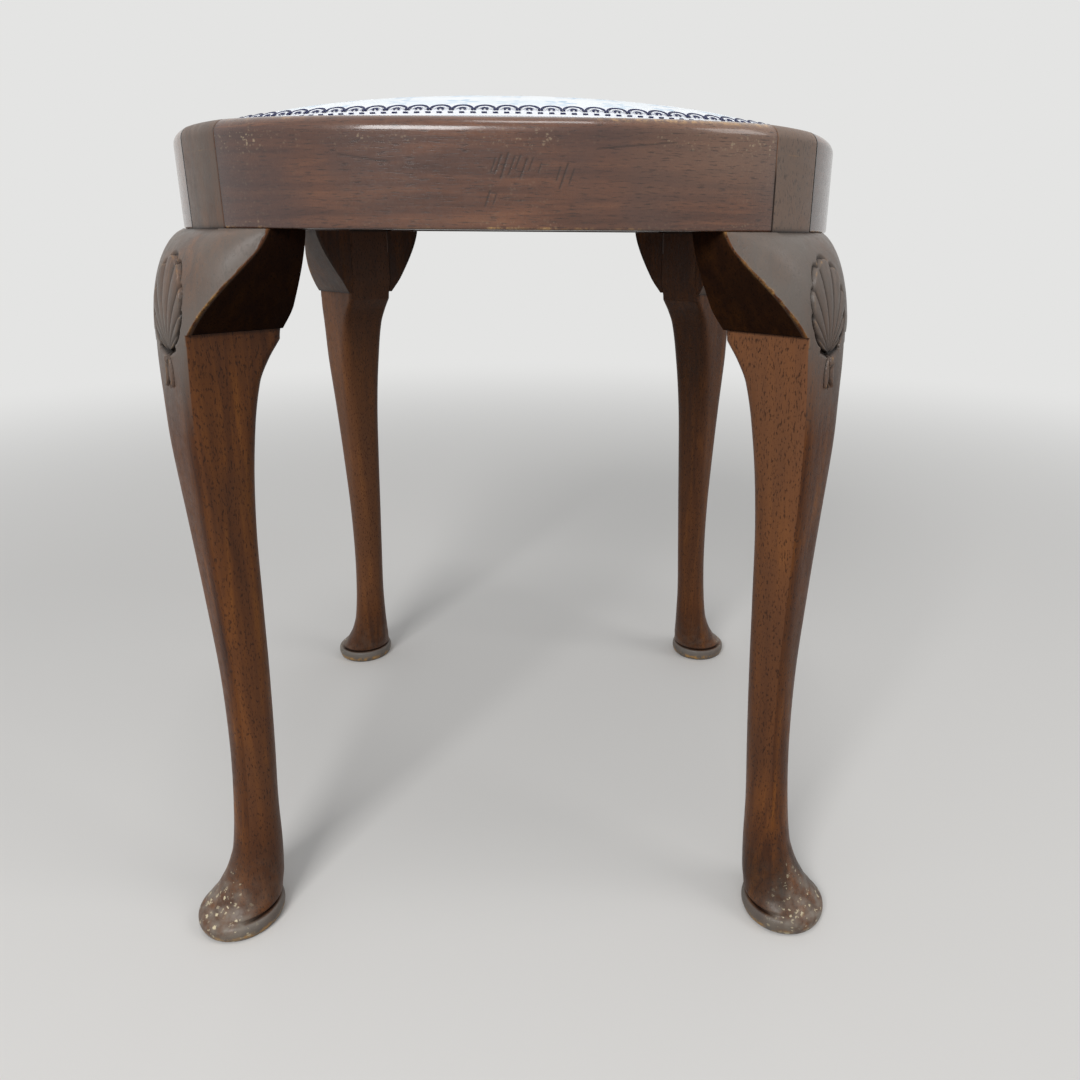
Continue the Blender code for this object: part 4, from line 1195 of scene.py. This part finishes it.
# Geometry Nodes: a tree with named sizes, run on a mesh and turned into a plain mesh

def startTree(name, sizes):
    tree = bpy.data.node_groups.new(name, "GeometryNodeTree")
    tree.interface.new_socket("Geometry", in_out="INPUT", socket_type="NodeSocketGeometry")
    for label, value in sizes.items():
        kind = "NodeSocketInt" if isinstance(value, int) else "NodeSocketFloat"
        tree.interface.new_socket(label, in_out="INPUT", socket_type=kind)
    tree.interface.new_socket("Geometry", in_out="OUTPUT", socket_type="NodeSocketGeometry")
    return tree, addNode(tree, "NodeGroupInput").outputs


def runTree(tree, base, sizes):
    holder = bpy.data.objects.new(tree.name, base)
    scene.collection.objects.link(holder)
    step = holder.modifiers.new(tree.name, "NODES")
    step.node_group = tree
    for socket in tree.interface.items_tree:
        if socket.in_out == "INPUT" and socket.name in sizes:
            step[socket.identifier] = sizes[socket.name]
    bpy.context.view_layer.update()
    graph = bpy.context.evaluated_depsgraph_get()
    mesh = bpy.data.meshes.new_from_object(holder.evaluated_get(graph), depsgraph=graph)
    bpy.data.objects.remove(holder)
    tidyMesh(mesh)
    return mesh


def spreadOut(tree, points, motif, material, turns=None):  # the motif at each point, as a plain mesh
    inputs = {"Points": points, "Instance": motif}
    if turns:
        inputs["Rotation"] = turns
    spread = addNode(tree, "GeometryNodeInstanceOnPoints", {}, inputs)
    real = addNode(tree, "GeometryNodeRealizeInstances", {}, {0: spread})
    return addNode(tree, "GeometryNodeSetMaterial", {}, {"Geometry": real, "Material": material}).outputs[0]


def cordAlong(tree, curve, radius):
    section = addNode(tree, "GeometryNodeCurvePrimitiveCircle", {}, {"Resolution": 6, "Radius": radius})
    inputs = {"Curve": curve, "Profile Curve": section, "Fill Caps": True}
    return addNode(tree, "GeometryNodeCurveToMesh", {}, inputs)


def loopMesh(name, points):  # closed chain of edges for a tree to follow
    count = len(points)
    mesh = bpy.data.meshes.new(name)
    mesh.from_pydata(points.tolist(), [(i, (i + 1) % count) for i in range(count)], [])
    return mesh


# Gimp: a pale tape with navy scrolls, sewn on the cushion along its edge

gimp = {
    "outside": 0.1749,
    "width": 0.0112,
    "tape": 0.0005,
    "tapeShare": 0.92,  # the tape's part of the width
    "lift": 0.0007,  # of the scrolls' path over the cushion
    "Count": 110,  # arches round the seat, about 10.5 mm apart
    "Lean": 0.46,
    "Arch Radius": 0.0041,
    "Arch Cord": 0.0005,
    "Inner Radius": 0.0026,
    "Inner Cord": 0.0004,
    "Eye Radius": 0.00115,
    "Eye Cord": 0.00042,
    "Dash Length": 0.0024,
    "Dash Cord": 0.00034,
}


def makeThread(name, dark, pale):
    # Twisted cotton yarn: fine slanting ply lines and a soft fuzzy edge
    material, tree, shader = startMaterial(
        name, Roughness=0.85, Specular_IOR_Level=0.2, Sheen_Weight=0.2, Sheen_Roughness=0.4
    )
    spot = addNode(tree, "ShaderNodeTexCoord").outputs["Object"]
    # ply lines drawn 0.7 mm apart
    ply = addNode(
        tree,
        "ShaderNodeTexWave",
        {"bands_direction": "DIAGONAL"},
        {"Vector": spot, "Scale": 2 * math.pi / (20 * 0.0007), "Distortion": 1.5, "Detail": 1.0},
    )
    tone = addNode(tree, *colourRamp, {"Fac": ply.outputs["Fac"]}, [(0.1, dark), (0.8, pale)])
    bump = addNode(tree, "ShaderNodeBump", {}, {"Height": ply.outputs["Fac"], "Strength": 0.5, "Distance": 0.0002})
    feed(tree, shader, {"Base Color": tone, "Normal": bump})
    return material


navyThread = makeThread("navy_gimp_thread", "#20233f", "#343960")
whiteThread = makeThread("white_gimp_thread", "#dfe3ea", "#f4f6f9")


def makeTape():  # raised cord along both edges of a thin tape that lies on the dome
    lifts = np.array([0.0001, 0.9, 1.3, 0.9, 0.75, 0.7, 0.7, 0.7, 0.75, 1.0, 1.35, 0.9, 0.0001]) * gimp["tape"]
    across = np.array([0, 0.0, 0.06, 0.12, 0.16, 0.3, 0.5, 0.7, 0.86, 0.9, 0.95, 1.0, 1.0])
    count = 400
    rows = []
    for lift, share in list(zip(lifts, across)) + [(-0.0004, 0.97), (-0.0005, 0.5), (-0.0004, 0.03)]:
        halfWidth = gimp["outside"] - gimp["width"] * gimp["tapeShare"] * share
        height = domeHeight(halfWidth / seat["edge"])
        rows.append(seatRing(halfWidth + 0.4 * lift, height + 0.9 * lift, count))
    rows = np.array(rows)
    mesh = ringMesh("gimp_tape", np.concatenate([rows, rows[:1]]), capped=False)
    bm = bmesh.new()
    bm.from_mesh(mesh)
    bmesh.ops.remove_doubles(bm, verts=bm.verts, dist=1e-7)
    bm.to_mesh(mesh)
    bm.free()
    tidyMesh(mesh)
    return mesh


def scrollTree():
    sizes = {key: value for key, value in gimp.items() if key[0].isupper()}
    tree, given = startTree("gimp_scrolls", sizes)
    found = {name: given[name] for name in sizes}
    found["along"] = addNode(tree, "GeometryNodeSplineParameter").outputs["Factor"]
    steps = (
        ("twice", multiply, "Count", 2.0),
        ("rise", sine, "Lean"),
        ("run", cosine, "Lean"),
        # thick in the middle and thin at the ends, like a crescent
        ("halfTurn", multiply, "along", math.pi),
        ("hump", sine, "halfTurn"),
        ("thick", multiplyAdd, "hump", 0.75, 0.45),
        ("dashLeft", multiply, "Dash Length", -0.5),
        ("dashRight", multiply, "Dash Length", 0.5),
    )
    addSteps(tree, found, steps)
    path = addNode(tree, "GeometryNodeMeshToCurve", {}, {0: given["Geometry"]})
    places, dashPlaces = (addNode(tree, *byCount, {"Curve": path, "Count": found[n]}) for n in ("Count", "twice"))
    # each motif lies along the path and leans with the slope of the cushion
    tangent = addNode(tree, "GeometryNodeInputTangent")
    outward = addNode(tree, "ShaderNodeVectorMath", {"operation": "CROSS_PRODUCT"}, {0: tangent, 1: (0, 0, 1)})
    upward = addNode(tree, "ShaderNodeCombineXYZ", {}, {"Z": found["rise"]})
    inward = addNode(tree, "ShaderNodeVectorMath", {"operation": "SCALE"}, {0: outward, "Scale": found["run"]})
    slope = addNode(tree, "ShaderNodeVectorMath", {"operation": "SUBTRACT"}, {0: upward, 1: inward})
    axes = {"primary_axis": "X", "secondary_axis": "Y"}
    turns = addNode(tree, "FunctionNodeAxesToRotation", axes, {0: tangent, 1: slope})
    strands = {}
    for name, start, sweep, shift, points in (
        ("Arch", -18, 216, -0.0004, 13),
        ("Inner", 0, 180, -0.0006, 9),
        ("Eye", -55, 290, -0.0004, 9),
    ):
        inputs = {"Start Angle": math.radians(start), "Sweep Angle": math.radians(sweep)}
        inputs |= {"Resolution": points, "Radius": given[f"{name} Radius"]}
        arc = addNode(tree, "GeometryNodeCurveArc", {"mode": "RADIUS"}, inputs)
        shaped = addNode(tree, "GeometryNodeSetCurveRadius", {}, {"Curve": arc, "Radius": found["thick"]})
        tube = cordAlong(tree, shaped, given[f"{name} Cord"])
        inputs = {"Geometry": tube, "Translation": (0, shift, 0.0002), "Scale": (1.12, 1.0, 0.6)}
        strands[name] = addNode(tree, "GeometryNodeTransform", {}, inputs).outputs[0]
    ends = [addNode(tree, "ShaderNodeCombineXYZ", {}, {"X": found[end]}) for end in ("dashLeft", "dashRight")]
    line = addNode(tree, "GeometryNodeCurvePrimitiveLine", {}, {"Start": ends[0], "End": ends[1]})
    dash = cordAlong(tree, line, given["Dash Cord"])
    dash = addNode(tree, "GeometryNodeTransform", {}, {"Geometry": dash, "Translation": (0, -0.0046, 0.0)})
    navy = addNode(tree, "GeometryNodeJoinGeometry", {}, {0: strands["Arch"]})
    tree.links.new(strands["Eye"], navy.inputs[0])
    finished = [
        spreadOut(tree, places, navy, navyThread, turns),
        spreadOut(tree, dashPlaces, dash, navyThread, turns),
        spreadOut(tree, places, strands["Inner"], whiteThread, turns),
    ]
    joined = addNode(tree, "GeometryNodeJoinGeometry")
    for part in finished:
        tree.links.new(part, joined.inputs[0])
    addNode(tree, "NodeGroupOutput", {}, {0: joined})
    return tree, sizes


addPiece("gimp_tape", makeTape(), whiteThread, "drop_in_seat", "navy_gimp", "gimp_braid")
tree, sizes = scrollTree()
middle = gimp["outside"] - gimp["tapeShare"] / 2 * gimp["width"]
ring = seatRing(middle, domeHeight(middle / seat["edge"]) + gimp["lift"], 720)
scrolls = addPiece("gimp_scrolls", runTree(tree, loopMesh("gimp_path", ring), sizes), None, "drop_in_seat", "navy_gimp")
print("gimp sewn:", len(scrolls.data.polygons), "faces")


# Under the seat: lining, tacks, hessian, webbing and the screws of the glue blocks

under = {
    "liningEdge": 0.161,
    "liningHeight": 0.4427,
    "liningThickness": 0.0005,
    "liningRipple": 0.0005,
    "tackPath": 0.149,
    "hessianEdge": 0.1675,
    "hessianHeight": 0.45805,
    "hessianThickness": 0.0007,
    "hessianRipple": 0.0002,
    "strapThickness": 0.0009,
    "strapMiddle": 0.45595,
    "strapWave": 0.00075,
    "strapPitch": 0.074,
    "strapEnd": 0.030,  # here a strap starts to bend down to the frame
    "strapBend": 0.022,
    "strapGap": 0.0003,
    "frameTop": 0.4543,
}
tacks = {"Count": 36, "Head Radius": 0.0032, "Head Rise": 0.0011}
screws = {"Head": 0.0085, "Shank": 0.0045, "Length": 0.0255, "Slot Width": 0.0011, "Slot Depth": 0.0013}
screwReach = 0.013  # from a screw's middle to its head


def clothDisc(name, kind, seed):  # a stretched round sheet with slight ripples
    edge, height, thickness, ripple = (under[kind + key] for key in ("Edge", "Height", "Thickness", "Ripple"))
    count = 160
    shares = np.concatenate([np.linspace(0.02, 0.94, 40), [0.97, 0.99, 1.0]])
    rows = []
    for share in shares:
        ring = seatRing(edge * share, height, count)
        angle = np.arctan2(ring[:, 1], ring[:, 0])
        wave = waver((angle + math.pi) * 9, 1.0, seed) * waver(np.full(count, share) * 7 + angle, 1.0, seed + 1)
        ring[:, 2] += ripple * (wave - 0.25) * share**2 * np.abs(np.sin(angle / 2)) ** 0.5
        rows.append(ring)
    rows = np.array(rows)
    below = rows.copy()
    above = rows.copy()
    below[..., 2] -= thickness / 2
    above[..., 2] += thickness / 2
    return ringMesh(name, np.concatenate([below, above[::-1]]))


def strapMesh(name, low, high, alongX, sign):
    length = (high.x - low.x) if alongX else (high.y - low.y)
    offset = (low.y + high.y) / 2 if alongX else (low.x + high.x) / 2
    half = ((high.y - low.y) if alongX else (high.x - low.x)) / 2
    run = np.linspace(-length / 2, length / 2, 150)
    wave = under["strapMiddle"] + sign * under["strapWave"] * np.cos(math.pi * run / under["strapPitch"])
    down = smooth(rising(np.abs(run) - (length / 2 - under["strapEnd"]), under["strapBend"]))
    height = wave * (1 - down) + (under["frameTop"] + under["strapGap"] + under["strapThickness"] / 2) * down
    thick = under["strapThickness"] / 2
    section = [(-1, -0.5), (-0.985, -1), (-0.9, -0.85), (0, -0.85), (0.9, -0.85), (0.985, -1), (1, -0.5)]
    section += [(1, 0.5), (0.985, 1), (0.9, 0.85), (0, 0.85), (-0.9, 0.85), (-0.985, 1), (-1, 0.5)]
    rows = np.empty((len(run), len(section), 3))
    for column, (side, lift) in enumerate(section):
        rows[:, column, 0] = run
        rows[:, column, 1] = offset + side * half
        rows[:, column, 2] = height + lift * thick
    if not alongX:
        rows = rows[..., [1, 0, 2]]
    return ringMesh(name, rows), length, 2 * half


def tackTree():
    tree, given = startTree("tacks", tacks)
    path = addNode(tree, "GeometryNodeMeshToCurve", {}, {0: given["Geometry"]})
    places = addNode(tree, *byCount, {"Curve": path, "Count": given["Count"]})
    ball = addNode(tree, "GeometryNodeMeshUVSphere", {}, {"Segments": 10, "Rings": 6, "Radius": 1.0})
    radius, rise = given["Head Radius"], given["Head Rise"]
    size = addNode(tree, "ShaderNodeCombineXYZ", {}, {"X": radius, "Y": radius, "Z": rise})
    head = addNode(tree, "GeometryNodeTransform", {}, {"Geometry": ball, "Scale": size})
    addNode(tree, "NodeGroupOutput", {}, {0: spreadOut(tree, places, head, tackSteel)})
    return tree


def screwTree():  # slotted countersunk screws whose heads face the middle of the stool
    tree, given = startTree("slotted_screws", screws)
    found = {name: given[name] for name in screws}
    steps = (
        ("headRadius", multiply, "Head", 0.5),
        ("shankRadius", multiply, "Shank", 0.5),
        ("flare", subtract, "headRadius", "shankRadius"),
        ("headDown", multiply, "flare", -1.0),
        ("shankDown", multiply, "Length", -1.0),
        ("slotLength", multiply, "Head", 1.2),
        ("slotDeep", multiply, "Slot Depth", 2.0),
    )
    addSteps(tree, found, steps)
    whole = addNode(tree, "GeometryNodeMeshBoolean", {"operation": "UNION", "solver": "EXACT"})
    for top, bottom, depth, down in (
        (found["headRadius"], found["shankRadius"], found["flare"], found["headDown"]),
        (found["shankRadius"], 0.0006, found["Length"], found["shankDown"]),
    ):
        inputs = {"Vertices": 24, "Radius Top": top, "Radius Bottom": bottom, "Depth": depth}
        cone = addNode(tree, "GeometryNodeMeshCone", {}, inputs)
        move = addNode(tree, "ShaderNodeCombineXYZ", {}, {"Z": down})
        placed = addNode(tree, "GeometryNodeTransform", {}, {"Geometry": cone, "Translation": move})
        tree.links.new(placed.outputs[0], whole.inputs[1])
    inputs = {"X": given["Slot Width"], "Y": found["slotLength"], "Z": found["slotDeep"]}
    slotSize = addNode(tree, "ShaderNodeCombineXYZ", {}, inputs)
    slot = addNode(tree, "GeometryNodeMeshCube", {}, {"Size": slotSize})
    cut = addNode(tree, "GeometryNodeMeshBoolean", {"operation": "DIFFERENCE", "solver": "EXACT"}, {0: whole})
    tree.links.new(slot.outputs["Mesh"], cut.inputs[1])
    aim = addNode(tree, "GeometryNodeInputNamedAttribute", {"data_type": "FLOAT_VECTOR"}, {"Name": "aim"})
    turns = addNode(tree, "FunctionNodeAlignRotationToVector", {"axis": "Z"}, {"Vector": aim.outputs["Attribute"]})
    addNode(tree, "NodeGroupOutput", {}, {0: spreadOut(tree, given["Geometry"], cut, screwSteel, turns)})
    return tree


def screwPlaces():
    names, places, aims = [], [], []
    for number, (place, degrees) in enumerate(corners.items()):
        outward = turned(np.array([1.0, 0.0, 0.0]), degrees)
        for step in (0, 1):
            name = f"screw_{place}_by_{sideOrder[(number + step) % 4]}"
            low, high = (np.array(corner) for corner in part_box(name))
            middle = (low + high) / 2
            names.append(name)
            places.append(middle - outward * screwReach)
            aims.append(-outward)
    return names, np.array(places), np.array(aims)


lining = clothDisc("dust_lining", "lining", 11)
lining = addPiece("dust_lining", lining, blackCambric, "drop_in_seat", "black_cambric", "dust_cover")
ring = seatRing(under["tackPath"], under["liningHeight"] - under["liningThickness"] / 2, 360)
addPiece("lining_tacks", runTree(tackTree(), loopMesh("tack_path", ring), tacks), None, "drop_in_seat", "screw_steel")
cloth = clothDisc("hessian_sheet", "hessian", 21)
cloth = addPiece("hessian_sheet", cloth, hessianCloth, "drop_in_seat", "hessian", "hessian")
for alongX, word in ((True, "across"), (False, "along")):
    for row, place in enumerate(("first", "middle", "last")):
        node = f"webbing_{word}_{place}"
        sign = (-1) ** row * (1 if alongX else -1)
        mesh, length, width = strapMesh(f"strap_{word}_{place}", *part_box(node), alongX, sign)
        strap = addPiece(f"strap_{word}_{place}", mesh, juteWebbing, "drop_in_seat", "jute_webbing", node)
names, places, aims = screwPlaces()
base = bpy.data.meshes.new("screw_places")
base.from_pydata(places.tolist(), [], [])
storeVectors(base, "aim", aims)
addPiece("block_screws", runTree(screwTree(), base, screws), None, "stool_frame", "screw_steel", *names)
print("underside made")


# Camera, floor and light

camera = {
    "place": (0.0298, -0.5830, 0.4056),
    "pitch": 0.3102,
    "yaw": 0.0255,
    "roll": -0.0069,
    "lens": 27.325,
    "sensor": 36,
    "shift": (-0.0382, -0.0401),  # the photo seems cropped: its view point isn't in its middle
}


def makeCamera():
    pitch, yaw, roll = camera["pitch"], camera["yaw"], camera["roll"]
    ahead = Vector((math.sin(yaw) * math.cos(pitch), math.cos(yaw) * math.cos(pitch), -math.sin(pitch)))
    right = Vector((math.cos(yaw), -math.sin(yaw), 0))
    down = ahead.cross(right)
    tiltedRight = math.cos(roll) * right + math.sin(roll) * down
    tiltedDown = -math.sin(roll) * right + math.cos(roll) * down
    data = bpy.data.cameras.new("camera")
    data.lens = camera["lens"]
    data.sensor_width = camera["sensor"]
    data.shift_x, data.shift_y = camera["shift"]
    data.clip_start = 0.01
    holder = bpy.data.objects.new("camera", data)
    scene.collection.objects.link(holder)
    turn = Matrix((tiltedRight, -tiltedDown, -ahead)).transposed()
    holder.matrix_world = Matrix.Translation(camera["place"]) @ turn.to_4x4()
    scene.camera = holder


studio = {
    "floor": "#dedcd9",
    "floorAsLit": "#4a4a4b",  # what the floor throws back onto the stool
    "backdrop": "#e4e4e3",
    "sky": "#f2f4f6",
    "floorRadius": 5.0,
    "fadeFrom": 0.5,  # distances from the middle between which the floor fades into the backdrop
    "fadeTo": 2.2,
    "worldStrength": 0.50,
    "lamps": (  # name, place, aim, size, power
        ("overhead", (0.05, -0.40, 2.0), (0, 0, 0.4), 0.42, 3.4),
        ("front", (-0.6, -1.75, 1.40), (0, 0, 0.3), 0.8, 26.0),
        ("right", (1.5, -0.6, 1.5), (0, 0, 0.3), 0.8, 6.0),
    ),
}


def seenDirectly(tree):  # 1 for rays that show a surface, 0 for those that only light something
    path = addNode(tree, "ShaderNodeLightPath").outputs
    seen = addNode(tree, *larger, {0: path["Is Camera Ray"], 1: path["Is Glossy Ray"]})
    return addNode(tree, *larger, {0: seen, 1: path["Is Transmission Ray"]})


def makeFloor():
    material = bpy.data.materials.new("pale_floor")
    material.use_nodes = True
    tree = material.node_tree
    tree.nodes.clear()
    spot = addNode(tree, "ShaderNodeTexCoord").outputs["Object"]
    far = addNode(tree, "ShaderNodeVectorMath", {"operation": "LENGTH"}, {0: spot})
    fade = addNode(
        tree,
        "ShaderNodeMapRange",
        {"interpolation_type": "SMOOTHSTEP"},
        {"Value": far.outputs["Value"], "From Min": studio["fadeFrom"], "From Max": studio["fadeTo"]},
    )
    shown = seenDirectly(tree)
    dull = addNode(tree, "ShaderNodeBsdfDiffuse", {}, {"Color": linear(studio["floorAsLit"])})
    pale = addNode(tree, "ShaderNodeBsdfDiffuse", {}, {"Color": linear(studio["floor"])})
    glow = addNode(tree, "ShaderNodeEmission", {}, {"Color": linear(studio["backdrop"]), "Strength": 1.0})
    faded = addNode(tree, "ShaderNodeMixShader", {}, {0: fade, 1: pale, 2: glow})
    chosen = addNode(tree, "ShaderNodeMixShader", {}, {0: shown, 1: dull, 2: faded})
    addNode(tree, "ShaderNodeOutputMaterial", {}, {"Surface": chosen})
    bm = bmesh.new()
    bmesh.ops.create_circle(bm, cap_ends=True, segments=64, radius=studio["floorRadius"])
    mesh = bpy.data.meshes.new("floor")
    bm.to_mesh(mesh)
    bm.free()
    mesh.materials.append(material)
    floor = bpy.data.objects.new("floor", mesh)
    scene.collection.objects.link(floor)
    floor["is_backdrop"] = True


def makeLight():
    world = bpy.data.worlds.new("studio")
    scene.world = world
    world.use_nodes = True
    tree = world.node_tree
    tree.nodes.clear()
    shown = seenDirectly(tree)
    soft = addNode(
        tree, "ShaderNodeBackground", {}, {"Color": linear(studio["sky"]), "Strength": studio["worldStrength"]}
    )
    plain = addNode(tree, "ShaderNodeBackground", {}, {"Color": linear(studio["backdrop"]), "Strength": 1.0})
    mixed = addNode(tree, "ShaderNodeMixShader", {}, {0: shown, 1: soft, 2: plain})
    addNode(tree, "ShaderNodeOutputWorld", {}, {"Surface": mixed})
    for name, place, aim, size, power in studio["lamps"]:
        data = bpy.data.lights.new(name, "AREA")
        data.shape = "SQUARE"
        data.size = size
        data.energy = power
        lamp = bpy.data.objects.new(name, data)
        lamp.location = place
        lamp.rotation_euler = (Vector(aim) - Vector(place)).to_track_quat("-Z", "Y").to_euler()
        scene.collection.objects.link(lamp)


makeCamera()
makeFloor()
makeLight()
scene.view_settings.view_transform = "Standard"
for name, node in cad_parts.items():
    if name.startswith(("glue_block", "seat_rail")):
        node.data.materials.clear()
        node.data.materials.append(bareBeech)

sizes = {"cad": [list(corner) for corner in cadBox], "visual": [list(corner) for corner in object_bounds()]}
